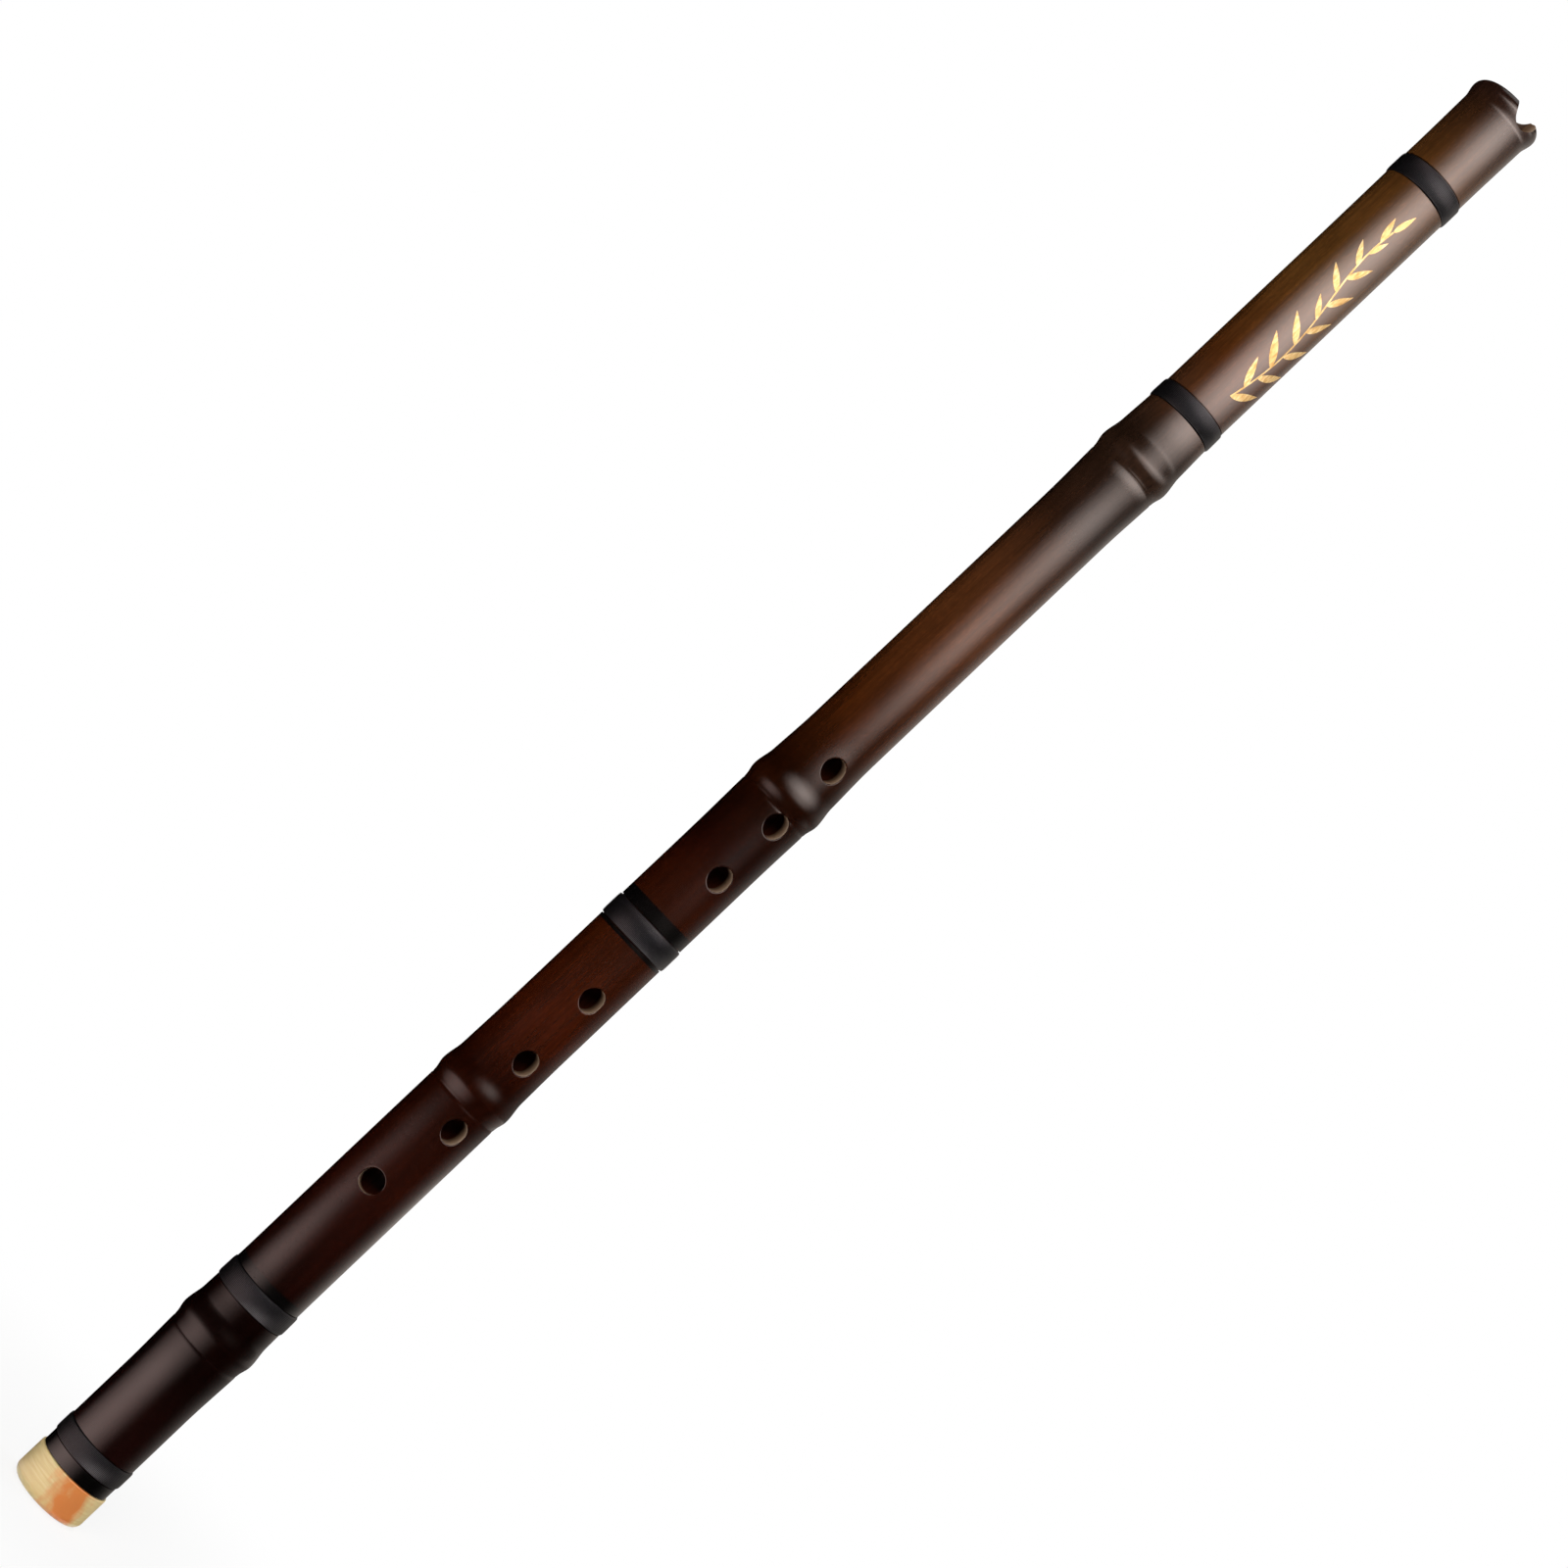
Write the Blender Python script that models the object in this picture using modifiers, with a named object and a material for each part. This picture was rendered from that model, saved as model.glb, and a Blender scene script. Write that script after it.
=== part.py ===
"""Xiao: an end-blown bamboo flute in one length of culm, with thread bindings and a horn tail ring.

Metres, +Z up. The flute stands on its tail ring, with the origin at the centre of the ring's end
face. The player's side, with the finger holes and the blowing notch, faces -Y.
"""
import math
from itertools import accumulate

import bmesh
import bpy
from mathutils import Matrix, Vector

# Culm: length of each internode, from the tail face up, node to node
TAIL_INTERNODE = 0.0830
LOWER_INTERNODE = 0.1240
MIDDLE_INTERNODE = 0.1515
UPPER_INTERNODE = 0.1723
HEAD_INTERNODE = 0.1857

# Culm: outer diameter at the waist of each internode, and over each node's ridge
TAIL_WAIST = 0.0300
LOWER_WAIST = 0.0305
MIDDLE_WAIST = 0.0297
UPPER_WAIST = 0.0285
HEAD_WAIST = 0.0281
TAIL_NODE = 0.0331
LOWER_NODE = 0.0322
MIDDLE_NODE = 0.0320
UPPER_NODE = 0.0316
HEAD_RIM = 0.0303

# Shape of a node: a long swelling, a ridge that is steep on its tail side, and the leaf scar below it
SHOULDER_REACH = 0.0300
RIDGE_HEIGHT = 0.0009
RIDGE_RISE = 0.0055
RIDGE_FALL = 0.0085
SCAR_WIDTH = 0.0012
SCAR_DEPTH = 0.0003

# Bore and closed head
BORE_DIAMETER = 0.0185
RIM_ROUNDING = 0.0035
SEPTUM_THICKNESS = 0.0032
DISH_DIAMETER = 0.0205
DISH_DEPTH = 0.0038

# Blowing notch: its floor falls from the sharp outer edge into the bore, a little off the holes' line
NOTCH_TURN = math.radians(6)
NOTCH_WIDTH = 0.0124
NOTCH_DEPTH = 0.0070
NOTCH_SLOPE = math.radians(30)
NOTCH_REACH = 0.0095
NOTCH_END_WIDTH = 0.0132

# Finger holes: slightly longer than wide, spaced upward from the little-finger hole
HOLE_WIDTH = 0.0090
HOLE_LENGTH = 0.0100
LITTLE_HOLE_DIAMETER = 0.0095
LITTLE_HOLE_HEIGHT = 0.1602
LITTLE_HOLE_TURN = math.radians(-30)
HOLE_PITCHES = (0.0322, 0.0346, 0.0318, 0.0617, 0.0271, 0.0283)
THUMB_PITCH = 0.0240

# Vent holes: a pair at the back, which set the lowest note
VENT_DIAMETER = 0.0055
VENT_DROP = 0.0360
VENT_SPREAD = math.radians(64)

# Thread bindings, each wound into a shallow groove
GROOVE_DEPTH = 0.0006
BINDING_PROUD = 0.0005
TAIL_BINDING = 0.0078
LOWER_BINDING = 0.0086
MIDDLE_BINDING = 0.0094
UPPER_BINDING = 0.0079
HEAD_BINDING = 0.0087
TAIL_BINDING_RISE = 0.0056
LOWER_BINDING_RISE = 0.0194
MIDDLE_BINDING_DROP = 0.0019
UPPER_BINDING_RISE = 0.0260
HEAD_BINDING_DROP = 0.0443

# Tail ring, a horn cap glued over the turned tail of the culm
RING_LENGTH = 0.0146
RING_PROUD = 0.0006
RING_WALL = 0.00305
RING_LIP = 0.0025
RING_ROUNDING = 0.0032
RING_EASING = 0.0005

# Clearance between pieces that touch
GAP = 0.0003

# Number of flat sides and of steps along the rounded edges, and the angle past which an edge stays sharp
TUBE_SIDES = 36
HOLE_SIDES = 24
ROUNDING_STEPS = 5
EASING_STEPS = 2
SHARP_ANGLE = math.radians(35)

# Where an outline has a point, as shares of a shoulder, of a ridge's two sides, of the dish's radius and of a
# binding's length, and how square the dish and a binding's crown are
SHOULDER_SHARES = (1.0, 0.75, 0.5)
RISE_SHARES = (0.7, 0.35, 0.0)
FALL_SHARES = (0.25, 0.5, 0.75, 1.0)
DISH_SHARES = (0.0, 0.6, 0.85, 1.0)
DISH_POWER = 4
CROWN_SHARES = (1.0, 0.96, 0.86, 0.5, 0.14, 0.04, 0.0)
CROWN_POWER = 4

# How far a drill stands out of the widest node
DRILL_OVERRUN = 0.0080

# Derived heights
NODE_HEIGHTS = tuple(
    accumulate((TAIL_INTERNODE, LOWER_INTERNODE, MIDDLE_INTERNODE, UPPER_INTERNODE, HEAD_INTERNODE))
)
NODE_RADII = tuple(diameter / 2 for diameter in (TAIL_NODE, LOWER_NODE, MIDDLE_NODE, UPPER_NODE, HEAD_RIM))
WAIST_RADII = tuple(
    diameter / 2 for diameter in (TAIL_WAIST, LOWER_WAIST, MIDDLE_WAIST, UPPER_WAIST, HEAD_WAIST)
)
RIM_HEIGHT = NODE_HEIGHTS[-1]
CREST_HEIGHT = RIM_HEIGHT + RIM_ROUNDING
BORE_TOP = CREST_HEIGHT - DISH_DEPTH - SEPTUM_THICKNESS
RING_RADIUS = TAIL_WAIST / 2 + RING_PROUD
SOCKET_RADIUS = RING_RADIUS - RING_WALL
TENON_RADIUS = SOCKET_RADIUS - GAP
SHOULDER_HEIGHT = RING_LENGTH + GAP
TENON_FOOT = RING_LIP + GAP
HOLE_HEIGHTS = tuple(accumulate(HOLE_PITCHES, initial=LITTLE_HOLE_HEIGHT))
THUMB_HEIGHT = HOLE_HEIGHTS[-1] + THUMB_PITCH
VENT_HEIGHT = LITTLE_HOLE_HEIGHT - VENT_DROP
MIDDLE_BINDING_CENTRE = (HOLE_HEIGHTS[3] + HOLE_HEIGHTS[4]) / 2 - MIDDLE_BINDING_DROP

# Each binding's name, the height of its lower end and its length
BINDINGS = (
    ("binding_tail", RING_LENGTH + TAIL_BINDING_RISE, TAIL_BINDING),
    ("binding_lower", NODE_HEIGHTS[0] + LOWER_BINDING_RISE - LOWER_BINDING / 2, LOWER_BINDING),
    ("binding_middle", MIDDLE_BINDING_CENTRE - MIDDLE_BINDING / 2, MIDDLE_BINDING),
    ("binding_upper", NODE_HEIGHTS[3] + UPPER_BINDING_RISE - UPPER_BINDING / 2, UPPER_BINDING),
    ("binding_head", CREST_HEIGHT - HEAD_BINDING_DROP - HEAD_BINDING / 2, HEAD_BINDING),
)


def new_collection(name):
    collection = bpy.data.collections.new(name)
    bpy.context.scene.collection.children.link(collection)
    return collection


def new_material(name, colour, roughness):
    material = bpy.data.materials.new(name)
    material.use_nodes = True
    shader = material.node_tree.nodes["Principled BSDF"]
    shader.inputs["Base Color"].default_value = (*colour, 1)
    shader.inputs["Roughness"].default_value = roughness
    shader.inputs["Metallic"].default_value = 0
    return material


def purple_bamboo():
    return new_material("purple_bamboo", (0.042, 0.012, 0.006), 0.22)


def lacquered_thread():
    return new_material("lacquered_thread", (0.008, 0.008, 0.010), 0.28)


def pale_horn():
    return new_material("pale_horn", (0.74, 0.52, 0.29), 0.25)


def link_mesh(name, mesh, collection):
    piece = bpy.data.objects.new(name, mesh)
    collection.objects.link(piece)
    return piece


def turned(name, profile, collection, material):
    """Turn a profile of (radius, height) points about Z; it runs down the outer side."""
    mesh = bpy.data.meshes.new(name)
    points = [(radius, 0, height) for radius, height in profile]
    edges = [(index, index + 1) for index in range(len(points) - 1)]
    mesh.from_pydata(points, edges, [])
    piece = link_mesh(name, mesh, collection)
    mesh.materials.append(material)
    screw = piece.modifiers.new("turned", "SCREW")
    screw.axis = "Z"
    screw.steps = TUBE_SIDES
    screw.render_steps = TUBE_SIDES
    screw.use_merge_vertices = True
    screw.merge_threshold = 0.00001
    screw.use_smooth_shade = True
    return piece


def apply_modifiers(piece):
    """Keep the evaluated shape as the piece's own mesh."""
    evaluated = piece.evaluated_get(bpy.context.evaluated_depsgraph_get())
    mesh = bpy.data.meshes.new_from_object(evaluated)
    piece.modifiers.clear()
    piece.data = mesh


def shade(piece):
    piece.data.shade_smooth()
    piece.data.set_sharp_from_angle(angle=SHARP_ANGLE)


def arc(centre, radius, start, end, steps):
    """Points along an arc of a profile, with angles from the +radius direction."""
    points = []
    for step in range(steps + 1):
        angle = start + (end - start) * step / steps
        points.append((centre[0] + radius * math.cos(angle), centre[1] + radius * math.sin(angle)))
    return points


def fade(distance, reach):
    """1 at no distance, easing to 0 at the reach."""
    return 0.5 + 0.5 * math.cos(math.pi * min(distance / reach, 1.0))


def culm_radius(height):
    """Outer radius of the bare culm: the internode's waist, its nodes' shoulders and their ridges."""
    index = next((i for i, node in enumerate(NODE_HEIGHTS) if height <= node), len(NODE_HEIGHTS) - 1)
    waist = WAIST_RADII[index]
    above = NODE_HEIGHTS[index] - height
    radius = waist + (NODE_RADII[index] - RIDGE_HEIGHT - waist) * fade(above, SHOULDER_REACH)
    radius += RIDGE_HEIGHT * fade(above, RIDGE_RISE)
    if index > 0:
        below = height - NODE_HEIGHTS[index - 1]
        radius += (NODE_RADII[index - 1] - RIDGE_HEIGHT - waist) * fade(below, SHOULDER_REACH)
        radius += RIDGE_HEIGHT * fade(below, RIDGE_FALL)
    return radius


def culm_heights():
    """Heights at which the culm's outline needs a point, with each node's scar as a fine dip."""
    heights = {}
    for node in NODE_HEIGHTS:
        for share in SHOULDER_SHARES:
            heights[node - SHOULDER_REACH * share] = 0
            heights[node + SHOULDER_REACH * share] = 0
        for share in RISE_SHARES:
            heights[node - RIDGE_RISE * share] = 0
        for share in FALL_SHARES:
            heights[node + RIDGE_FALL * share] = 0
        foot = node - RIDGE_RISE
        heights[foot] = 0
        heights[foot - SCAR_WIDTH / 2] = SCAR_DEPTH
        heights[foot - SCAR_WIDTH] = 0
    inside = [height for height in heights if SHOULDER_HEIGHT < height <= RIM_HEIGHT]
    return sorted(((height, heights[height]) for height in inside), reverse=True)


def groove(lower, length):
    """The four corners of the groove that a binding is wound into, from the top down."""
    top = lower + length + GAP
    bottom = lower - GAP
    return [
        (culm_radius(top), top),
        (culm_radius(top) - GROOVE_DEPTH, top),
        (culm_radius(bottom) - GROOVE_DEPTH, bottom),
        (culm_radius(bottom), bottom),
    ]


def culm_outline():
    """The culm's outer side from the rim down to the shoulder, with a groove for each binding."""
    outline = []
    heights = culm_heights()
    grooves = [groove(lower, length) for _, lower, length in BINDINGS]
    for corners in sorted(grooves, key=lambda corners: -corners[0][1]):
        top = corners[0][1]
        bottom = corners[-1][1]
        outline += [(culm_radius(height) - dip, height) for height, dip in heights if height > top]
        outline += corners
        heights = [(height, dip) for height, dip in heights if height < bottom]
    outline += [(culm_radius(height) - dip, height) for height, dip in heights]
    return outline


def tube_profile():
    """The whole culm: dished end, rounded rim, outer side, tenon, bore."""
    rim_centre = (culm_radius(RIM_HEIGHT) - RIM_ROUNDING, RIM_HEIGHT)
    profile = []
    for share in DISH_SHARES:
        profile.append((DISH_DIAMETER / 2 * share, CREST_HEIGHT - DISH_DEPTH * (1 - share**DISH_POWER)))
    profile += arc(rim_centre, RIM_ROUNDING, math.pi / 2, 0, ROUNDING_STEPS)[:-1]
    profile += culm_outline()
    profile.append((culm_radius(SHOULDER_HEIGHT), SHOULDER_HEIGHT))
    profile.append((TENON_RADIUS, SHOULDER_HEIGHT))
    profile.append((TENON_RADIUS, TENON_FOOT))
    profile.append((BORE_DIAMETER / 2, TENON_FOOT))
    profile.append((BORE_DIAMETER / 2, BORE_TOP))
    profile.append((0, BORE_TOP))
    return profile


def as_cutter(name, shape, cutters):
    mesh = bpy.data.meshes.new(name)
    shape.to_mesh(mesh)
    shape.free()
    cutter = link_mesh(name, mesh, cutters)
    cutter.hide_render = True
    cutter.display_type = "WIRE"
    return cutter


def hole_cutter(name, height, turn, width, length, cutters):
    """A radial drill from the bore's axis outward; the turn is seen from above, from the front line."""
    outward = Vector((math.sin(turn), -math.cos(turn), 0))
    upward = Vector((0, 0, 1))
    depth = max(NODE_RADII) + DRILL_OVERRUN
    shape = bmesh.new()
    bmesh.ops.create_cone(
        shape, cap_ends=True, segments=HOLE_SIDES, radius1=width / 2, radius2=width / 2, depth=depth
    )
    bmesh.ops.scale(shape, vec=(length / width, 1, 1), verts=shape.verts)
    frame = Matrix((upward, outward.cross(upward), outward)).transposed().to_4x4()
    frame.translation = outward * depth / 2 + upward * height
    bmesh.ops.transform(shape, matrix=frame, verts=shape.verts)
    return as_cutter(name, shape, cutters)


def stretched_cylinder(width, depth, stretch):
    """A cylinder along Z whose +Y half is drawn out, as a channel with a round bottom."""
    shape = bmesh.new()
    bmesh.ops.create_cone(
        shape, cap_ends=True, segments=HOLE_SIDES, radius1=width / 2, radius2=width / 2, depth=depth
    )
    for vertex in shape.verts:
        if vertex.co.y > GAP / 2:
            vertex.co.y += stretch
    return shape


def notch_cutter(cutters):
    """A U-bottomed channel that falls from the outer wall into the bore and ends round in plan."""
    turned_aside = Matrix.Rotation(NOTCH_TURN, 4, "Z")
    wall = culm_radius(CREST_HEIGHT - NOTCH_DEPTH)
    reach = wall + BORE_DIAMETER
    inward = Vector((0, math.cos(NOTCH_SLOPE), -math.sin(NOTCH_SLOPE)))
    rise = Vector((0, math.sin(NOTCH_SLOPE), math.cos(NOTCH_SLOPE)))
    edge = Vector((0, -wall, CREST_HEIGHT - NOTCH_DEPTH))
    channel = stretched_cylinder(NOTCH_WIDTH, 2 * reach, reach)
    frame = Matrix((rise.cross(inward), rise, inward)).transposed().to_4x4()
    frame.translation = edge + rise * NOTCH_WIDTH / 2
    bmesh.ops.transform(channel, matrix=turned_aside @ frame, verts=channel.verts)
    cutter = as_cutter("notch_cutter", channel, cutters)

    slot = stretched_cylinder(NOTCH_END_WIDTH, 4 * reach, reach)
    end = -wall + NOTCH_REACH - NOTCH_END_WIDTH / 2
    frame = Matrix.Translation((0, end, CREST_HEIGHT)) @ Matrix.Rotation(math.pi, 4, "Z")
    bmesh.ops.transform(slot, matrix=turned_aside @ frame, verts=slot.verts)
    plan = as_cutter("notch_plan", slot, cutters)

    boolean = cutter.modifiers.new("rounded_end", "BOOLEAN")
    boolean.operation = "INTERSECT"
    boolean.solver = "EXACT"
    boolean.object = plan
    return cutter


def hole_cutters(cutters):
    """The finger holes, the thumb hole behind, the two vents and the notch."""
    little, *fingers = HOLE_HEIGHTS
    drills = [
        hole_cutter(
            "little_hole_cutter",
            little,
            LITTLE_HOLE_TURN,
            LITTLE_HOLE_DIAMETER,
            LITTLE_HOLE_DIAMETER,
            cutters,
        )
    ]
    for number, height in enumerate(fingers, start=1):
        drills.append(
            hole_cutter(f"finger_hole_cutter_{number}", height, 0, HOLE_WIDTH, HOLE_LENGTH, cutters)
        )
    drills.append(hole_cutter("thumb_hole_cutter", THUMB_HEIGHT, math.pi, HOLE_WIDTH, HOLE_LENGTH, cutters))
    for side in (-1, 1):
        turn = math.pi + side * VENT_SPREAD / 2
        name = f"vent_cutter_{'left' if side < 0 else 'right'}"
        drills.append(hole_cutter(name, VENT_HEIGHT, turn, VENT_DIAMETER, VENT_DIAMETER, cutters))
    drills.append(notch_cutter(cutters))
    return drills


def bamboo_tube(parts, cutters):
    tube = turned("bamboo_tube", tube_profile(), parts, purple_bamboo())
    for cutter in hole_cutters(cutters):
        boolean = tube.modifiers.new(cutter.name, "BOOLEAN")
        boolean.operation = "DIFFERENCE"
        boolean.solver = "EXACT"
        boolean.object = cutter
    apply_modifiers(tube)
    shade(tube)
    return tube


def binding(name, lower, length, parts, material):
    """A winding of thread with a crowned outer side, clear of its groove all round."""
    top = lower + length
    crown = []
    for share in CROWN_SHARES:
        height = lower + length * share
        swell = math.sqrt(1 - abs(2 * share - 1) ** CROWN_POWER)
        crown.append((culm_radius(height) + BINDING_PROUD * swell, height))
    floor = [
        (culm_radius(lower - GAP) - GROOVE_DEPTH + GAP, lower),
        (culm_radius(top + GAP) - GROOVE_DEPTH + GAP, top),
    ]
    piece = turned(name, crown + floor + crown[:1], parts, material)
    apply_modifiers(piece)
    shade(piece)
    return piece


def tail_ring(parts):
    """A turned cap of horn: socket for the tenon, lip under the culm's end, rounded foot."""
    bore = BORE_DIAMETER / 2
    mouth = (RING_RADIUS - RING_EASING, RING_LENGTH - RING_EASING)
    foot = (RING_RADIUS - RING_ROUNDING, RING_ROUNDING)
    lip = (bore + RING_EASING, RING_EASING)
    profile = [(SOCKET_RADIUS, RING_LENGTH)]
    profile += arc(mouth, RING_EASING, math.pi / 2, 0, EASING_STEPS)
    profile += arc(foot, RING_ROUNDING, 0, -math.pi / 2, ROUNDING_STEPS)
    profile += arc(lip, RING_EASING, -math.pi / 2, -math.pi, EASING_STEPS)
    profile.append((bore, RING_LIP))
    profile.append((SOCKET_RADIUS, RING_LIP))
    profile.append((SOCKET_RADIUS, RING_LENGTH))
    piece = turned("tail_ring", profile, parts, pale_horn())
    apply_modifiers(piece)
    shade(piece)
    return piece


def main():
    for item in list(bpy.data.objects):
        bpy.data.objects.remove(item, do_unlink=True)
    parts = new_collection("xiao")
    cutters = new_collection("cutters")
    bamboo_tube(parts, cutters)
    thread = lacquered_thread()
    for name, lower, length in BINDINGS:
        binding(name, lower, length, parts, thread)
    tail_ring(parts)


main()
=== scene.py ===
"""Finish and fine surface of a xiao, an end-blown flute of dark bamboo with thread bindings."""
import math
from functools import partial
from itertools import accumulate

import bmesh
import bpy
from mathutils import Matrix, Vector, noise


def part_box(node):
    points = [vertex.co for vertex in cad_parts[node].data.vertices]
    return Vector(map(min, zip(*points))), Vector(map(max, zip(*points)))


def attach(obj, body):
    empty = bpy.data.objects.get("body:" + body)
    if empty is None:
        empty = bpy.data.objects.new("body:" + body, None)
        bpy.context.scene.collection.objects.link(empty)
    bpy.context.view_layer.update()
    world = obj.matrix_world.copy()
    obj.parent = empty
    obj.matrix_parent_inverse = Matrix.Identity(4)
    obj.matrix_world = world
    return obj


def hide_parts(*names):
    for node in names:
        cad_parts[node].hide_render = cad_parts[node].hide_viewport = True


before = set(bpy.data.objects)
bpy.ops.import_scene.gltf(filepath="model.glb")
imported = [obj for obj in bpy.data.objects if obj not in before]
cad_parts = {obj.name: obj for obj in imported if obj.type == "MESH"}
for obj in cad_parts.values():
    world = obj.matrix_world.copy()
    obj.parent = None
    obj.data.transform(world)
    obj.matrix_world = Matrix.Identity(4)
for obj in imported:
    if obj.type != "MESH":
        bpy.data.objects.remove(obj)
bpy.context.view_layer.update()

scene = bpy.context.scene
scene.view_settings.view_transform = "Standard"


# Camera: a long lens a little over a metre away, low on the player's right-hand side. It is rolled, so the
# flute lies from the lower left to the upper right of the picture.
UP = Vector((0, 0, 1))
PICTURE_PIXELS = 1600
FOCAL_PIXELS = 3500
METRES_PER_PIXEL = 0.00034896
SENSOR_WIDTH = 36
CAMERA_TURN = math.radians(-23.5)
CAMERA_RISE = math.radians(-3)
FLUTE_SLANT = math.radians(43.48)
AIM_HEIGHT = 0.3608
AIM_ASIDE = -0.00318


def facing(turn):
    """Level direction away from the flute's axis; the turn is seen from above, from the front line."""
    return Vector((math.sin(turn), -math.cos(turn), 0))


forward = -(facing(CAMERA_TURN) * math.cos(CAMERA_RISE) + UP * math.sin(CAMERA_RISE))
aside = forward.cross(UP).normalized()
upright = aside.cross(forward)
picture_right = upright * math.cos(FLUTE_SLANT) + aside * math.sin(FLUTE_SLANT)
picture_up = upright * math.sin(FLUTE_SLANT) - aside * math.cos(FLUTE_SLANT)
camera = bpy.data.objects.new("camera", bpy.data.cameras.new("camera"))
scene.collection.objects.link(camera)
camera.data.sensor_width = SENSOR_WIDTH
camera.data.lens = FOCAL_PIXELS / PICTURE_PIXELS * SENSOR_WIDTH
camera.matrix_world = Matrix((picture_right, picture_up, -forward)).transposed().to_4x4()
camera.location = UP * AIM_HEIGHT + aside * AIM_ASIDE - forward * FOCAL_PIXELS * METRES_PER_PIXEL
scene.camera = camera


# Floor and world: a white studio. The floor is white paper that still takes the flute's soft shadow, and the
# world lights everything a little from all round.
FLOOR_SIZE = 8
FLOOR_DROP = 0.0002
FLOOR_WHITE = "f4f4f2"
SHADOW_SHARE = 0.15
SHADOW_REACH = (0.03, 0.25)
WORLD_LEVEL = 0.10


def linear(colour):
    """An sRGB hex colour as linear red, green, blue and alpha."""
    values = [int(colour[index : index + 2], 16) / 255 for index in (0, 2, 4)]
    return (*(v / 12.92 if v <= 0.04045 else ((v + 0.055) / 1.055) ** 2.4 for v in values), 1)


def add_node(tree, kind, inputs=None, stops=(), **settings):
    """Add a node. An input takes a value, another node's first output or a socket, or a list of those."""
    added = tree.nodes.new(kind)
    for name, value in settings.items():
        setattr(added, name, value)
    for name, value in (inputs or {}).items():
        for source in value if isinstance(value, list) else [value]:
            if isinstance(source, bpy.types.Node):
                source = source.outputs[0]
            if isinstance(source, bpy.types.NodeSocket):
                tree.links.new(source, added.inputs[name])
            else:
                added.inputs[name].default_value = source
    for index, (place, colour) in enumerate(stops):
        elements = added.color_ramp.elements
        element = elements[index] if index < 2 else elements.new(place)
        element.position = place
        element.color = linear(colour)
    return added


def new_material(name):
    """A node material with an empty tree, and the function that adds a node to that tree."""
    material = bpy.data.materials.new(name)
    material.use_nodes = True
    material.node_tree.nodes.clear()
    return material, partial(add_node, material.node_tree)


def new_piece(name, mesh, *materials):
    """A mesh in these materials, linked to the scene as an object."""
    for material in materials:
        mesh.materials.append(material)
    piece = bpy.data.objects.new(name, mesh)
    scene.collection.objects.link(piece)
    return piece


material, add = new_material("white_paper")
light_path = add("ShaderNodeLightPath")
position = add("ShaderNodeNewGeometry").outputs["Position"]
away = add("ShaderNodeVectorMath", {0: position}, operation="LENGTH")
fading = {"From Min": SHADOW_REACH[0], "From Max": SHADOW_REACH[1], "To Min": 1 - SHADOW_SHARE}
whiteness = add(
    "ShaderNodeMapRange", {"Value": away.outputs["Value"], **fading}, interpolation_type="SMOOTHSTEP"
)
seen = add("ShaderNodeMath", {0: light_path.outputs["Is Camera Ray"], 1: whiteness}, operation="MULTIPLY")
for ray in ("Is Glossy Ray", "Is Transmission Ray"):
    seen = add("ShaderNodeMath", {0: seen, 1: light_path.outputs[ray]}, operation="MAXIMUM")
paper = add("ShaderNodeBsdfDiffuse", {"Color": linear(FLOOR_WHITE)})
white = add("ShaderNodeEmission", {"Color": (1, 1, 1, 1), "Strength": 1})
mixed = add("ShaderNodeMixShader", {0: seen, 1: paper, 2: white})
add("ShaderNodeOutputMaterial", {"Surface": mixed})
corners = ((-1, -1), (1, -1), (1, 1), (-1, 1))
mesh = bpy.data.meshes.new("floor")
mesh.from_pydata([(x * FLOOR_SIZE / 2, y * FLOOR_SIZE / 2, -FLOOR_DROP) for x, y in corners], [], [range(4)])
new_piece("floor", mesh, material)

world = bpy.data.worlds.new("studio")
scene.world = world
world.use_nodes = True
world.node_tree.nodes.clear()
add = partial(add_node, world.node_tree)
light_path = add("ShaderNodeLightPath")
seen = light_path.outputs["Is Camera Ray"]
for ray in ("Is Glossy Ray", "Is Transmission Ray"):
    seen = add("ShaderNodeMath", {0: seen, 1: light_path.outputs[ray]}, operation="MAXIMUM")
strength = add("ShaderNodeMapRange", {"Value": seen, "To Min": WORLD_LEVEL})
background = add("ShaderNodeBackground", {"Color": (1, 1, 1, 1), "Strength": strength})
add("ShaderNodeOutputWorld", {"Surface": background})


# Lamps: a soft front light a little to the left of the camera, a weaker one low at the right, and a ceiling
# light. They give the colours and the shadow, and none of them is mirrored in the lacquer.
FRONT_TURN = CAMERA_TURN - math.radians(8)
FRONT_DISTANCE = 1.5
FRONT_HEIGHT = 0.95
FRONT_SIZE = 0.7
FRONT_RADIANCE = 11.5
SIDE_TURN = CAMERA_TURN + math.radians(120)
SIDE_HEIGHT = 0.5
SIDE_RADIANCE = 7
CEILING_HEIGHT = 4.0
CEILING_SIZE = 1.0
CEILING_RADIANCE = 15


def add_lamp(name, size, radiance, place, aim):
    """A square area lamp that lights and isn't seen or mirrored."""
    lamp = bpy.data.objects.new(name, bpy.data.lights.new(name, "AREA"))
    scene.collection.objects.link(lamp)
    lamp.data.size = size
    lamp.data.energy = radiance * math.pi * size**2
    lamp.location = place
    lamp.rotation_euler = (aim - place).to_track_quat("-Z", "Y").to_euler()
    lamp.visible_camera = lamp.visible_glossy = False


front_place = facing(FRONT_TURN) * FRONT_DISTANCE + UP * FRONT_HEIGHT
add_lamp("front_light", FRONT_SIZE, FRONT_RADIANCE, front_place, UP * AIM_HEIGHT)
side_place = facing(SIDE_TURN) * FRONT_DISTANCE + UP * SIDE_HEIGHT
add_lamp("side_light", FRONT_SIZE, SIDE_RADIANCE, side_place, UP * AIM_HEIGHT)
add_lamp("ceiling_light", CEILING_SIZE, CEILING_RADIANCE, UP * CEILING_HEIGHT, Vector())


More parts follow.
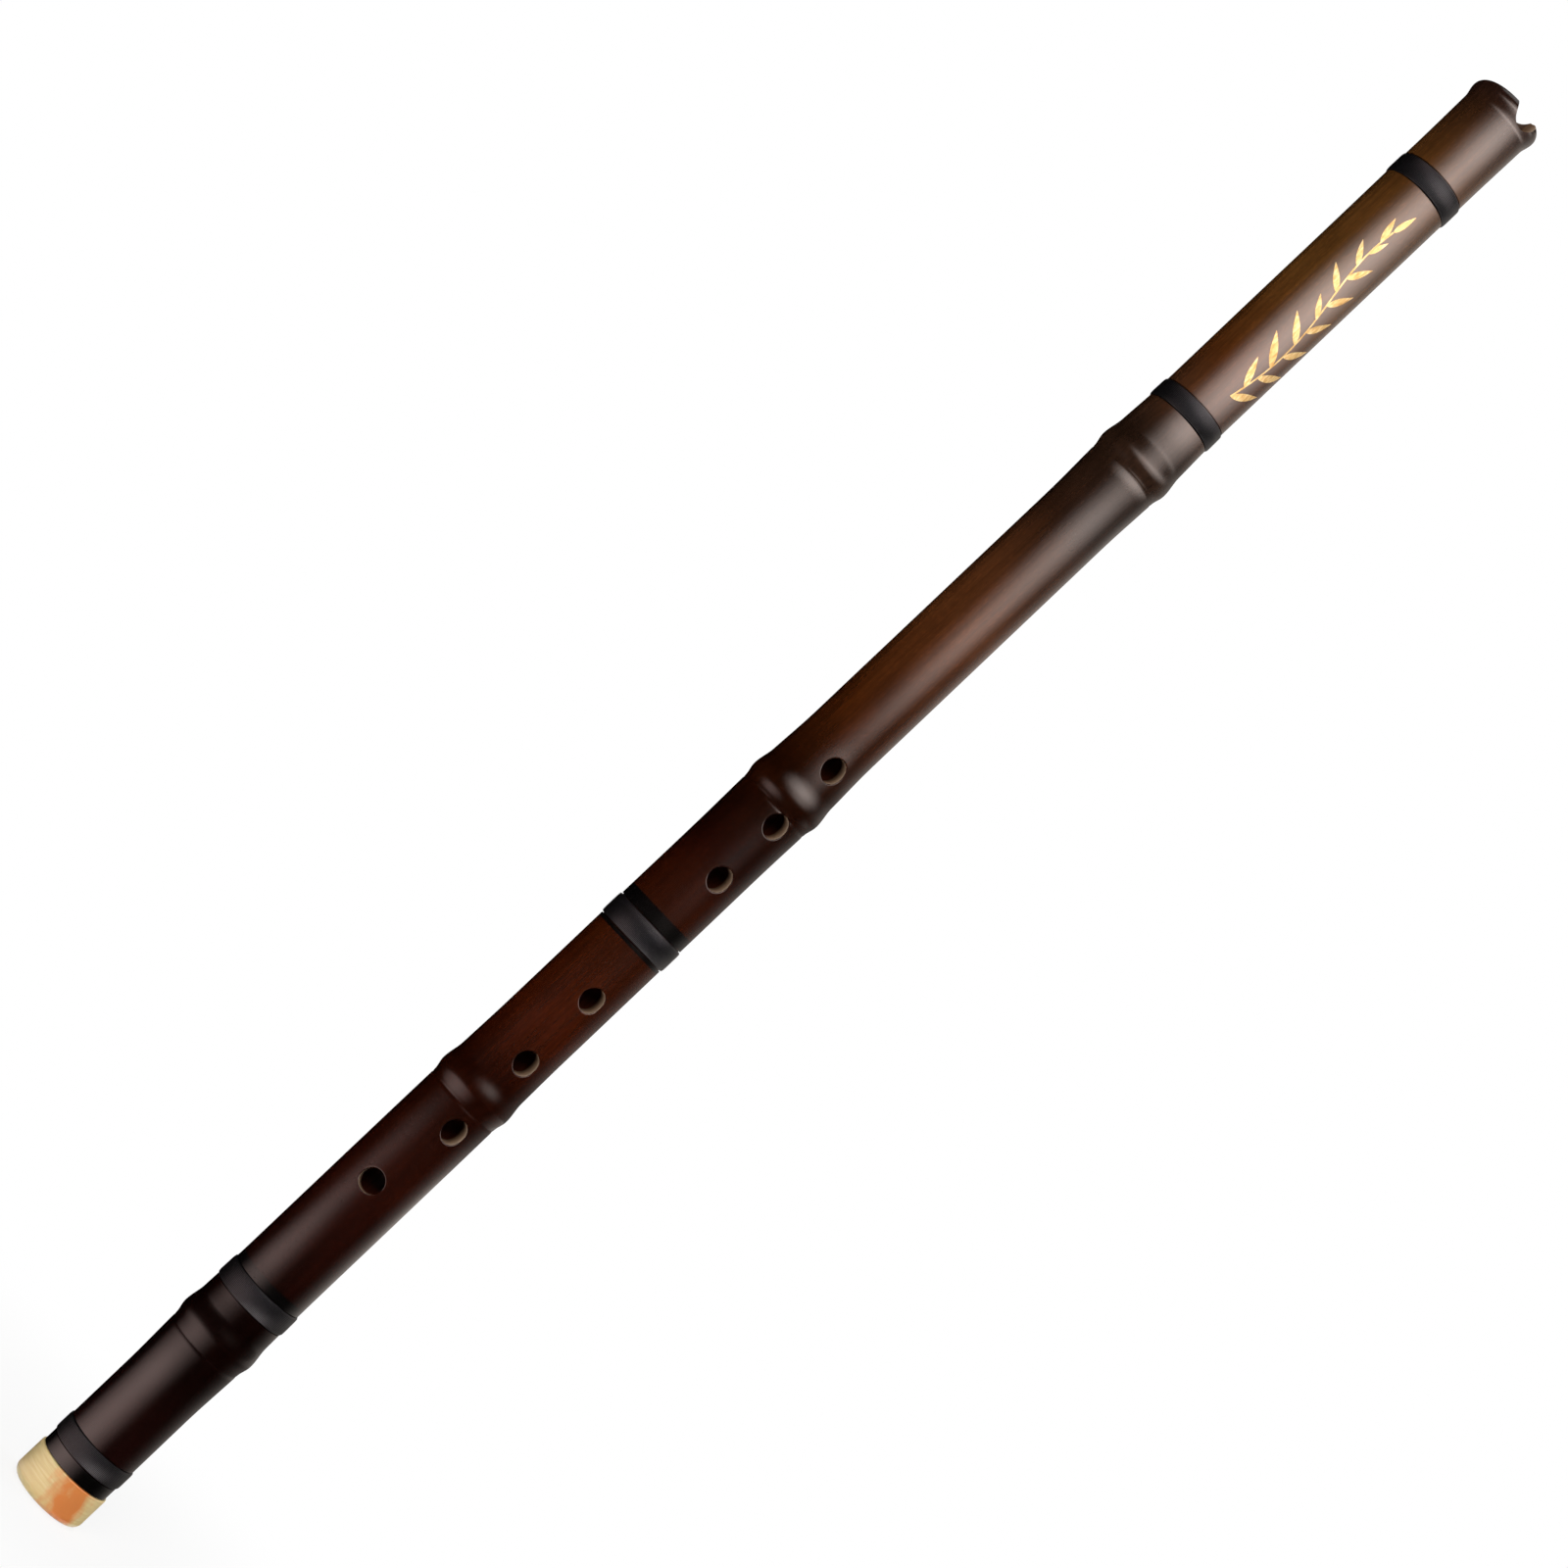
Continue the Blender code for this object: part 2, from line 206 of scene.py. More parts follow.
# Cards that only reflections see. A black screen and a black mat keep the lacquer dark. Before them are sheer
# lit cards: one stands at the camera's right and is mirrored as the long soft highlight of the head half, one
# lies at the foot's left for the tail half, and a dim pair behind gives the faint line along the right edge.
CARD_STEPS = 48
MAT_LIFT = 0.001
LYING_LIFT = 0.002
REAR_LIFT = 0.003
MAT_RADIUS = 0.017
SCREEN_RADIUS = 2.6
SCREEN_HEIGHT = 6.0
STANDING_RADIUS = 1.25
STANDING_FOOT = 0.40
REAR_RADIUS = 1.2
LIT_HEIGHT = 1.5
LIT_REACH = 1.8
BLACK_TURNS = (-178, 178)
STANDING_TURNS = (-60, 128)
REAR_TURNS = (70, 178)
LYING_TURNS = (-118, 24)
RANGE_INPUTS = ("From Min", "From Max", "To Min", "To Max")


def add_card(name, material, turns, edges):
    """A curved card between two turns from the camera in degrees, with its edges as (radius, height)."""
    start, end = (math.radians(turn) for turn in turns)
    offsets = [start + (end - start) * step / CARD_STEPS for step in range(CARD_STEPS + 1)]
    directions = [facing(CAMERA_TURN + offset) for offset in offsets]
    points = [direction * radius + UP * height for direction in directions for radius, height in edges]
    quads = [(2 * k, 2 * k + 1, 2 * k + 3, 2 * k + 2) for k in range(CARD_STEPS)]
    mesh = bpy.data.meshes.new(name)
    mesh.from_pydata(points, [], quads)
    on_end = edges[0][0] == edges[1][0]
    places = mesh.uv_layers.new(name="place").data
    for loop in mesh.loops:
        along = edges[loop.vertex_index % 2][1 if on_end else 0]
        places[loop.index].uv = (offsets[loop.vertex_index // 2], along)
    card = new_piece(name, mesh, material)
    card.visible_camera = card.visible_diffuse = card.visible_shadow = False


def card_light(name, colour, middle, widths, levels):
    """A sheer glow that falls off both ways from its middle turn.

    Its widths and its levels are ranges along the card, each with its two ends and the values there, and
    are multiplied.
    """
    material, add = new_material(name)
    uv = add("ShaderNodeUVMap", uv_map="place")
    place = add("ShaderNodeSeparateXYZ", {0: uv}).outputs
    off_middle = add("ShaderNodeMath", {0: place["X"], 1: middle}, operation="SUBTRACT")
    share = add("ShaderNodeMath", {0: off_middle}, operation="ABSOLUTE")
    for values in widths:
        width = add("ShaderNodeMapRange", {"Value": place["Y"], **dict(zip(RANGE_INPUTS, values))})
        share = add("ShaderNodeMath", {0: share, 1: width}, operation="DIVIDE")
    falling = {"Value": share, "To Min": 1, "To Max": 0}
    strength = add("ShaderNodeMapRange", falling, interpolation_type="SMOOTHSTEP")
    for values in levels:
        changing = {"Value": place["Y"], **dict(zip(RANGE_INPUTS, values))}
        level = add("ShaderNodeMapRange", changing, interpolation_type="SMOOTHSTEP")
        strength = add("ShaderNodeMath", {0: strength, 1: level}, operation="MULTIPLY")
    glow = add("ShaderNodeEmission", {"Color": linear(colour), "Strength": strength})
    clear = add("ShaderNodeBsdfTransparent")
    sheer = add("ShaderNodeAddShader", {0: glow, 1: clear})
    add("ShaderNodeOutputMaterial", {"Surface": sheer})
    return material


standing_light = card_light(
    "standing_light",
    colour="ffefe7",
    middle=math.radians(34),
    widths=((0.45, 0.95, math.radians(36), math.radians(92)), (1.00, 1.08, 1.0, 0.62)),
    levels=((0.40, 0.64, 0.0, 1.0), (0.76, 0.95, 4.4, 12.2), (0.98, 1.10, 1.0, 0.5)),
)
lying_light = card_light(
    "lying_light",
    colour="ffdfd8",
    middle=math.radians(-47),
    widths=((0.50, 1.00, math.radians(70), math.radians(42)),),
    levels=((0.55, 1.80, 2.75, 0.0),),
)
rear_light = card_light(
    "rear_light",
    colour="fff4ea",
    middle=math.radians(136),
    widths=((0.00, 1.00, math.radians(66), math.radians(66)),),
    levels=((0.30, 0.60, 0.32, 0.70),),
)
black_card, add = new_material("black_card")
black = add("ShaderNodeBsdfDiffuse", {"Color": linear("050505")})
add("ShaderNodeOutputMaterial", {"Surface": black})

standing_edges = ((STANDING_RADIUS, STANDING_FOOT), (STANDING_RADIUS, LIT_HEIGHT))
add_card("black_screen", black_card, BLACK_TURNS, ((SCREEN_RADIUS, 0), (SCREEN_RADIUS, SCREEN_HEIGHT)))
add_card("black_mat", black_card, BLACK_TURNS, ((MAT_RADIUS, MAT_LIFT), (SCREEN_RADIUS, MAT_LIFT)))
add_card("standing_card", standing_light, STANDING_TURNS, standing_edges)
add_card("rear_card", rear_light, REAR_TURNS, ((REAR_RADIUS, 0), (REAR_RADIUS, LIT_HEIGHT)))
add_card("rear_mat", rear_light, REAR_TURNS, ((MAT_RADIUS, REAR_LIFT), (LIT_REACH, REAR_LIFT)))
add_card("lying_card", lying_light, LYING_TURNS, ((MAT_RADIUS, LYING_LIFT), (LIT_REACH, LYING_LIFT)))


# Culm: one length of heat-darkened bamboo, bored through from the tail and closed at the head by its own
# node. The holes and the notch are cut with a knife and show the raw wall; the skin is lacquered. The
# internodes are listed from the tail up, with the radius at the waist of each and over the node above it.
INTERNODES = (0.0830, 0.1240, 0.1515, 0.1723, 0.1857)
WAIST_RADII = (0.01500, 0.01525, 0.01485, 0.01425, 0.01405)
NODE_RADII = (0.01655, 0.01610, 0.01600, 0.01580, 0.01515)
SHOULDER_REACH = 0.0300
RIDGE_HEIGHT = 0.0009
RIDGE_RISE = 0.0055
RIDGE_FALL = 0.0085
SCAR_WIDTH = 0.0012
SCAR_DEPTH = 0.00015
BORE_RADIUS = 0.00925
RIM_ROUNDING = 0.0035
SEPTUM_THICKNESS = 0.0032
DISH_RADIUS = 0.01025
DISH_DEPTH = 0.0038
DISH_POWER = 4
TENON_RADIUS = 0.01225
TENON_FOOT = 0.0028
GROOVE_DEPTH = 0.0006
GAP = 0.0003

HOLE_WIDTH = 0.0090
HOLE_LENGTH = 0.0100
LITTLE_HOLE_DIAMETER = 0.0095
LITTLE_HOLE_HEIGHT = 0.1602
LITTLE_HOLE_TURN = math.radians(-30)
HOLE_PITCHES = (0.0322, 0.0346, 0.0318, 0.0617, 0.0271, 0.0283)
THUMB_PITCH = 0.0240
VENT_DIAMETER = 0.0055
VENT_DROP = 0.0360
VENT_SPREAD = math.radians(64)
EDGE_EASING = 0.00035

NOTCH_TURN = math.radians(6)
NOTCH_WIDTH = 0.0124
NOTCH_DEPTH = 0.0070
NOTCH_SLOPE = math.radians(30)
NOTCH_REACH = 0.0095
NOTCH_END_WIDTH = 0.0132
NOTCH_SIDES = 64

# The culm's grid. Round each hole a patch of it is redrawn, with rings at these shares of the way from the
# hole's edge to the patch's border on the skin and in the bore, and of the way through the wall. A groove's
# wall takes a sliver of height, so that its rows keep their order.
SIDES = 96
SHARP_ANGLE = math.radians(38)
ROW_SPACING = 0.0040
NODE_SPACING = 0.0005
ON_ROW = 1e-6
GROOVE_WALL = 1e-7
DISH_STEPS = 14
RIM_STEPS = 10
SEPTUM_SHARES = (0.75, 0.5, 0.25)
BORE_END_ROW = 0.012
PATCH_REACH = 0.0080
PATCH_CELLS = 18
VENT_REACH = 0.0045
VENT_CELLS = 12
SKIN_SHARES = (0.84, 0.68, 0.52, 0.38, 0.25, 0.13, 0.04, 0.0)
WALL_SHARES = (0.15, 0.4, 0.7, 1.0)
BORE_SHARES = (0.35, 0.7)
EASING_STEPS = 4
SKIN, WALL, BORE = range(3)

NODE_HEIGHTS = tuple(accumulate(INTERNODES))
RIM_HEIGHT = NODE_HEIGHTS[-1]
CREST_HEIGHT = RIM_HEIGHT + RIM_ROUNDING
BORE_TOP = CREST_HEIGHT - DISH_DEPTH - SEPTUM_THICKNESS
HOLE_HEIGHTS = tuple(accumulate(HOLE_PITCHES, initial=LITTLE_HOLE_HEIGHT))
RING_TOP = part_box("tail_ring")[1].z
BINDINGS = ("binding_tail", "binding_lower", "binding_middle", "binding_upper", "binding_head")
GROOVES = [(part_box(name)[0].z - GAP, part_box(name)[1].z + GAP) for name in BINDINGS]


def fade(distance, reach):
    """1 at no distance, easing to 0 at the reach."""
    return 0.5 + 0.5 * math.cos(math.pi * min(abs(distance) / reach, 1.0))


def culm_radius(height):
    """Outer radius of the bare culm: waist, shoulders and the ridge of each node."""
    index = next((i for i, node in enumerate(NODE_HEIGHTS) if height <= node), len(NODE_HEIGHTS) - 1)
    waist = WAIST_RADII[index]
    above = NODE_HEIGHTS[index] - height
    radius = waist + (NODE_RADII[index] - RIDGE_HEIGHT - waist) * fade(above, SHOULDER_REACH)
    radius += RIDGE_HEIGHT * fade(above, RIDGE_RISE)
    if index > 0:
        below = height - NODE_HEIGHTS[index - 1]
        radius += (NODE_RADII[index - 1] - RIDGE_HEIGHT - waist) * fade(below, SHOULDER_REACH)
        radius += RIDGE_HEIGHT * fade(below, RIDGE_FALL)
    scar = min(abs(height - node + RIDGE_RISE + SCAR_WIDTH / 2) for node in NODE_HEIGHTS[:-1])
    return radius - SCAR_DEPTH * fade(scar, SCAR_WIDTH / 2)


# A grown stem is never quite round or even: shallow hollows, up to this deep and about this wide and long.
HOLLOW_DEPTH = 0.00012
HOLLOW_WIDTH = 0.012
HOLLOW_LENGTH = 0.045


def skin_point(turn, height, inset=0.0):
    """A point of the culm's skin, or that far under it."""
    around = facing(turn) * culm_radius(height)
    hollow = 0.5 + 0.5 * noise.noise((around / HOLLOW_WIDTH) + UP * height / HOLLOW_LENGTH)
    depth = HOLLOW_DEPTH * hollow * (1 - fade(RIM_HEIGHT - height, SHOULDER_REACH))
    return facing(turn) * (culm_radius(height) - depth - inset) + UP * height


def bore_point(turn, height):
    """A point of the bore's wall."""
    return facing(turn) * BORE_RADIUS + UP * height


def spread_stops(lower, upper, stops, cells):
    """Split a span into so many cells, with an edge at each stop."""
    ends = [lower, *(stop for stop in sorted(stops) if lower < stop < upper), upper]
    spans = [b - a for a, b in zip(ends, ends[1:])]
    counts = [max(1, round(span / (upper - lower) * cells)) for span in spans]
    counts[spans.index(max(spans))] += cells - sum(counts)
    edges = [lower]
    for start, span, count in zip(ends, spans, counts):
        edges += [start + span * step / count for step in range(1, count + 1)]
    return edges


# Each hole: its height, its turn from the front line, its half width and half length, and its patch's reach
# and cells each way. Each patch: its lower and upper end and its cells.
HOLES = [(LITTLE_HOLE_HEIGHT, LITTLE_HOLE_TURN, LITTLE_HOLE_DIAMETER / 2, LITTLE_HOLE_DIAMETER / 2)]
HOLES += [(height, 0, HOLE_WIDTH / 2, HOLE_LENGTH / 2) for height in HOLE_HEIGHTS[1:]]
HOLES += [(HOLE_HEIGHTS[-1] + THUMB_PITCH, math.pi, HOLE_WIDTH / 2, HOLE_LENGTH / 2)]
HOLES = [(*hole, PATCH_REACH, PATCH_CELLS) for hole in HOLES]
for side in (-1, 1):
    vent_turn = math.pi + side * VENT_SPREAD / 2
    vent = (LITTLE_HOLE_HEIGHT - VENT_DROP, vent_turn, VENT_DIAMETER / 2, VENT_DIAMETER / 2)
    HOLES.append((*vent, VENT_REACH, VENT_CELLS))
PATCHES = sorted({(hole[0] - hole[4], hole[0] + hole[4], hole[5]) for hole in HOLES})


def node_stops():
    """Heights at which the skin needs a row for a node's ridge, its scar and its eased sides."""
    stops = []
    for node in NODE_HEIGHTS:
        scar = node - RIDGE_RISE
        stops += [scar, scar - SCAR_WIDTH / 2, scar - SCAR_WIDTH]
    return stops


def skin_heights():
    """Heights of the rows of the skin, from the rim down to the ring."""
    heights = set(node_stops())
    count = int((RIM_HEIGHT - RING_TOP) / ROW_SPACING)
    heights |= {RING_TOP + (RIM_HEIGHT - RING_TOP) * step / count for step in range(count + 1)}
    for node in NODE_HEIGHTS:
        steps = int((RIDGE_RISE + RIDGE_FALL) / NODE_SPACING)
        heights |= {node - RIDGE_RISE + NODE_SPACING * step for step in range(steps + 1)}
    heights = [h for h in heights if RING_TOP + GAP < h <= RIM_HEIGHT]
    spans = [(lower, upper) for lower, upper, _ in PATCHES] + GROOVES
    clear = NODE_SPACING / 2
    heights = [h for h in heights if not any(a - clear < h < b + clear for a, b in spans)]
    for lower, upper, cells in PATCHES:
        heights += spread_stops(lower, upper, node_stops(), cells)
    heights = sorted(heights, reverse=True)
    kept = [heights[0]]
    for height in heights[1:]:
        near = kept[-1] - height < clear / 2
        if not near or any(a <= height <= b for a, b, _ in PATCHES):
            kept.append(height)
    return kept


def culm_profile():
    """Rows of the culm as (kind, size, height), from the dish over the rim, down the skin and up the bore.

    The size is how deep a row of the skin lies under it, or else the row's radius.
    """
    rows = []
    for step in range(1, DISH_STEPS + 1):
        share = math.sin(math.pi / 2 * step / DISH_STEPS)
        rows.append(("face", DISH_RADIUS * share, CREST_HEIGHT - DISH_DEPTH * (1 - share**DISH_POWER)))
    centre = culm_radius(RIM_HEIGHT) - RIM_ROUNDING
    for step in range(RIM_STEPS):
        angle = math.pi / 2 * (1 - step / RIM_STEPS)
        height = RIM_HEIGHT + RIM_ROUNDING * math.sin(angle)
        rows.append(("face", centre + RIM_ROUNDING * math.cos(angle), height))
    skin = [("skin", 0.0, height) for height in skin_heights()]
    for bottom, top in GROOVES:
        skin += [("skin", 0.0, top), ("skin", GROOVE_DEPTH, top - GROOVE_WALL)]
        skin += [("skin", GROOVE_DEPTH, bottom + GROOVE_WALL), ("skin", 0.0, bottom)]
    rows += sorted(skin, key=lambda row: -row[2])
    shoulder = RING_TOP + GAP
    rows += [("skin", 0.0, shoulder), ("face", TENON_RADIUS, shoulder), ("face", TENON_RADIUS, TENON_FOOT)]
    bore = [TENON_FOOT]
    for lower, upper, cells in PATCHES:
        bore += [lower + (upper - lower) * step / cells for step in range(cells + 1)]
    bore += [BORE_TOP - BORE_END_ROW, BORE_TOP]
    rows += [("bore", BORE_RADIUS, height) for height in bore]
    rows += [("bore", BORE_RADIUS * share, BORE_TOP) for share in SEPTUM_SHARES]
    return rows


def face_outwards(mesh):
    """Point the faces of a closed mesh outwards."""
    shape = bmesh.new()
    shape.from_mesh(mesh)
    bmesh.ops.recalc_face_normals(shape, faces=shape.faces)
    shape.to_mesh(mesh)
    shape.free()


def culm_mesh():
    """The culm as one closed grid of quads, with rings of quads round and through each hole."""
    rows = culm_profile()
    points = []
    faces = []
    grid = []
    for kind, size, height in rows:
        row = []
        for side in range(SIDES):
            turn = 2 * math.pi * side / SIDES
            if kind == "skin":
                points.append(skin_point(turn, height, size))
            else:
                points.append(facing(turn) * size + UP * height)
            row.append(len(points) - 1)
        grid.append(row)
    removed = set()
    for height, turn, half_width, half_length, reach, cells in HOLES:
        left = round(turn / (2 * math.pi) * SIDES) - cells // 2
        near = [index for index, row in enumerate(rows) if abs(row[2] - height) < reach + ON_ROW]
        levels = {}
        for kind in ("skin", "bore"):
            inside = [index for index in near if rows[index][0] == kind]
            levels[kind] = inside if kind == "skin" else inside[::-1]
            for row in range(min(inside), max(inside)):
                removed |= {(row, (left + column) % SIDES) for column in range(cells)}

        def border(kind):
            """The patch's border from its upper left corner, clockwise as seen from outside."""
            top, bottom = levels[kind][0], levels[kind][-1]
            path = [(top, column) for column in range(cells)]
            path += [(row, cells) for row in levels[kind][:-1]]
            path += [(bottom, cells - column) for column in range(cells)]
            path += [(row, 0) for row in levels[kind][:0:-1]]
            return [grid[row][(left + column) % SIDES] for row, column in path]

        skin_border = border("skin")
        bore_border = border("bore")
        count = len(skin_border)
        angles = [math.radians(135) - 2 * math.pi * index / count for index in range(count)]
        sideways = Vector((math.cos(turn), math.sin(turn), 0))

        def ring(place):
            """A ring of new points round the hole, each at the place for its index and angle."""
            first = len(points)
            points.extend(place(index, angle) for index, angle in enumerate(angles))
            return list(range(first, len(points)))

        def beside(corner, angle, grow, blend):
            """How far aside and how high the outline is at an angle, or a point nearer the border."""
            across = (half_width + grow) * math.cos(angle)
            along = (half_length + grow) * math.sin(angle)
            if blend:
                across += (points[corner].dot(sideways) - across) * blend
                along += (points[corner].z - height - along) * blend
            return across, height + along

        def outer(index, angle, grow, blend=0.0):
            across, level = beside(skin_border[index], angle, grow, blend)
            return skin_point(turn + math.asin(across / culm_radius(level)), level)

        def inner(index, angle, blend=0.0):
            across, level = beside(bore_border[index], angle, 0, blend)
            return bore_point(turn + math.asin(across / BORE_RADIUS), level)

        rings = [(skin_border, SKIN)]
        for blend in SKIN_SHARES:
            rings.append((ring(lambda i, a: outer(i, a, EDGE_EASING, blend)), SKIN))
        for step in range(1, EASING_STEPS + 1):
            bend = math.pi / 2 * step / EASING_STEPS
            sunk = facing(turn) * EDGE_EASING * (1 - math.cos(bend))
            rings.append((ring(lambda i, a: outer(i, a, EDGE_EASING * (1 - math.sin(bend))) - sunk), SKIN))
        edge = rings[-1][0]
        for share in WALL_SHARES:
            rings.append((ring(lambda i, a: points[edge[i]].lerp(inner(i, a), share)), WALL))
        for blend in BORE_SHARES:
            rings.append((ring(lambda i, a: inner(i, a, blend)), BORE))
        rings.append((bore_border, BORE))
        for (upper, _), (lower, slot) in zip(rings, rings[1:]):
            for index in range(count):
                after = (index + 1) % count
                faces.append(((upper[index], upper[after], lower[after], lower[index]), slot))
    for row, (upper, lower) in enumerate(zip(grid, grid[1:])):
        slot = BORE if rows[row + 1][0] == "bore" else SKIN
        for side in range(SIDES):
            if (row, side) not in removed:
                after = (side + 1) % SIDES
                faces.append(((upper[side], upper[after], lower[after], lower[side]), slot))
    poles = ((grid[0], UP * (CREST_HEIGHT - DISH_DEPTH), SKIN), (grid[-1], UP * BORE_TOP, BORE))
    for row, place, slot in poles:
        points.append(place)
        for side in range(SIDES):
            faces.append(((row[side], row[(side + 1) % SIDES], len(points) - 1), slot))
    mesh = bpy.data.meshes.new("culm")
    mesh.from_pydata(points, [], [face for face, _ in faces])
    mesh.polygons.foreach_set("material_index", [slot for _, slot in faces])
    face_outwards(mesh)
    return mesh


# Bamboo skin, smoked brown and rubbed with clear lacquer: an even, soft gloss over fine lengthwise fibres.
# The smoke is darkest at the tail and beside the nodes, and rusty flecks and near-black streaks run along it.
# Its tones are listed by height, and its shade and gloss by distance above a node.
SKIN_TONES = (
    (0.015, "180504"),
    (0.100, "180401"),
    (0.150, "230702"),
    (0.240, "391101"),
    (0.275, "321001"),
    (0.330, "230701"),
    (0.400, "3b1a05"),
    (0.450, "4c2912"),
    (0.500, "29170d"),
    (0.540, "3f2a1e"),
    (0.580, "49260d"),
    (0.625, "503214"),
    (0.680, "4b2d12"),
    (0.716, "23130e"),
)
NODE_SHADE = ((-0.045, 1.0), (-0.012, 0.46), (-0.001, 0.54), (0.005, 0.30), (0.034, 1.0))
NODE_GLOSS = ((-0.022, 1.0), (-0.008, 0.72), (0.004, 0.62), (0.011, 0.52), (0.018, 0.80), (0.036, 1.0))
RUST_GAIN = (2.2, 1.8, 1.5)

# Cells of the skin's grain, as (width, length). Its fibres are coarser than real ones, so that they show.
RIB = (0.0006, 0.080)
PIT = (0.0006, 0.0016)
FIBRE = (0.0016, 0.040)
FLECK = (0.0004, 0.0024)
MOTTLE = (0.0110, 0.0242)
LACQUER_IOR = 1.5
TONE_WANDER = 0.012
BAND_BLACK = "060505"

# Near-black bands beside three bindings, as (lower edge, upper edge): partly black lacquer, partly painted
# shade where the culm meets a winding
LACQUER_AND_SHADE_BANDS = (
    (RING_TOP, GROOVES[0][0]),
    (GROOVES[1][1], GROOVES[1][1] + 0.0036),
    (GROOVES[2][1], GROOVES[2][1] + 0.0052),
    (GROOVES[2][0] - 0.0014, GROOVES[2][0]),
)


def grain(add, cell, detail):
    """Noise drawn out along the flute, with cells of this width and length."""
    width, length = cell
    place = add("ShaderNodeTexCoord").outputs["Object"]
    shares = (1 / width, 1 / width, 1 / length)
    stretched = add("ShaderNodeVectorMath", {0: place, 1: shares}, operation="MULTIPLY")
    return add("ShaderNodeTexNoise", {"Vector": stretched, "Scale": 1, "Detail": detail})


def around_nodes(levels):
    """Grey stops along the culm for a level that changes by these (distance above a node, level) at each."""
    stops = []
    for node in NODE_HEIGHTS[:-1]:
        for offset, level in levels:
            grey = round(255 * (1.055 * level ** (1 / 2.4) - 0.055))
            stops.append(((node + offset) / CREST_HEIGHT, f"{grey:02x}" * 3))
    return stops


lacquered_bamboo, add = new_material("lacquered_smoked_bamboo")
position = add("ShaderNodeTexCoord").outputs["Object"]
height = add("ShaderNodeSeparateXYZ", {0: position}).outputs["Z"]
mottle = grain(add, MOTTLE, detail=4)
wander = add("ShaderNodeMath", {0: mottle, 1: TONE_WANDER, 2: -TONE_WANDER / 2}, operation="MULTIPLY_ADD")
tone_height = add("ShaderNodeMath", {0: height, 1: wander}, operation="ADD")
along = add("ShaderNodeMath", {0: tone_height, 1: CREST_HEIGHT}, operation="DIVIDE")
tone_stops = [(place / CREST_HEIGHT, colour) for place, colour in SKIN_TONES]
tone = add("ShaderNodeValToRGB", {"Fac": along}, stops=tone_stops)
share_of_height = add("ShaderNodeMath", {0: height, 1: CREST_HEIGHT}, operation="DIVIDE")
beside_node = add("ShaderNodeValToRGB", {"Fac": share_of_height}, stops=around_nodes(NODE_SHADE))
gloss = add("ShaderNodeValToRGB", {"Fac": share_of_height}, stops=around_nodes(NODE_GLOSS))
fibre = grain(add, FIBRE, detail=5)
depth = add(
    "ShaderNodeMapRange", {"Value": fibre, "From Min": 0.32, "From Max": 0.68, "To Min": 0.78, "To Max": 1.22}
)
blotch = add(
    "ShaderNodeMapRange", {"Value": mottle, "From Min": 0.3, "From Max": 0.7, "To Min": 0.8, "To Max": 1.2}
)
uneven = add("ShaderNodeMath", {0: depth, 1: blotch}, operation="MULTIPLY")
streaked = add("ShaderNodeVectorMath", {0: tone, "Scale": uneven}, operation="SCALE")
shaded = add("ShaderNodeVectorMath", {0: streaked, 1: beside_node}, operation="MULTIPLY")
fleck = grain(add, FLECK, detail=2)
fleck_share = add("ShaderNodeMapRange", {"Value": fleck, "From Min": 0.52, "From Max": 0.72, "To Max": 0.35})
rust = add("ShaderNodeVectorMath", {0: shaded, 1: RUST_GAIN}, operation="MULTIPLY")
flecked = add("ShaderNodeMix", {0: fleck_share, 6: shaded, 7: rust}, data_type="RGBA")
# Near-black bands beside the bindings: partly black lacquer, partly painted shade beside the windings
painted = 0
for lower, upper in LACQUER_AND_SHADE_BANDS:
    middle = (lower + upper) / 2
    band = add("ShaderNodeMath", {0: height, 1: middle, 2: upper - middle}, operation="COMPARE")
    painted = add("ShaderNodeMath", {0: painted, 1: band}, operation="MAXIMUM")
coloured = add(
    "ShaderNodeMix", {0: painted, 6: flecked.outputs[2], 7: linear(BAND_BLACK)}, data_type="RGBA"
)
rib = grain(add, RIB, detail=3)
pit = grain(add, PIT, detail=2)
pits = add("ShaderNodeMapRange", {"Value": pit, "From Min": 0.28, "From Max": 0.40})
relief = add("ShaderNodeMath", {0: rib, 1: pits}, operation="ADD")
fibre_bump = add("ShaderNodeBump", {"Strength": 0.5, "Distance": 0.00006, "Height": relief})
lacquer_bump = add("ShaderNodeBump", {"Strength": 0.25, "Distance": 0.00005, "Height": relief})
skin = add(
    "ShaderNodeBsdfPrincipled",
    {
        "Base Color": coloured.outputs[2],
        "Roughness": 0.5,
        "IOR": LACQUER_IOR,
        "Specular IOR Level": 0.0,
        "Coat Weight": gloss,
        "Coat Roughness": 0.20,
        "Coat IOR": LACQUER_IOR,
        "Normal": fibre_bump,
        "Coat Normal": lacquer_bump,
    },
)
add("ShaderNodeOutputMaterial", {"Surface": skin})

# Raw bamboo wall, cut with a knife: pale under the skin, with painted shade that turns it browner and darker
# towards the bore, deeper in the hole, and the ends and sides of the fibre bundles as fine lengthwise lines.
WALL_THICKNESS = 0.0055
BUNDLE = (0.0005, 0.020)

raw_bamboo, add = new_material("cut_bamboo_wall")
position = add("ShaderNodeTexCoord").outputs["Object"]
flat = add("ShaderNodeVectorMath", {0: position, 1: (1, 1, 0)}, operation="MULTIPLY")
radius = add("ShaderNodeVectorMath", {0: flat}, operation="LENGTH")
through_wall = {"From Min": BORE_RADIUS, "From Max": BORE_RADIUS + WALL_THICKNESS}
outward = add("ShaderNodeMapRange", {"Value": radius.outputs["Value"], **through_wall})
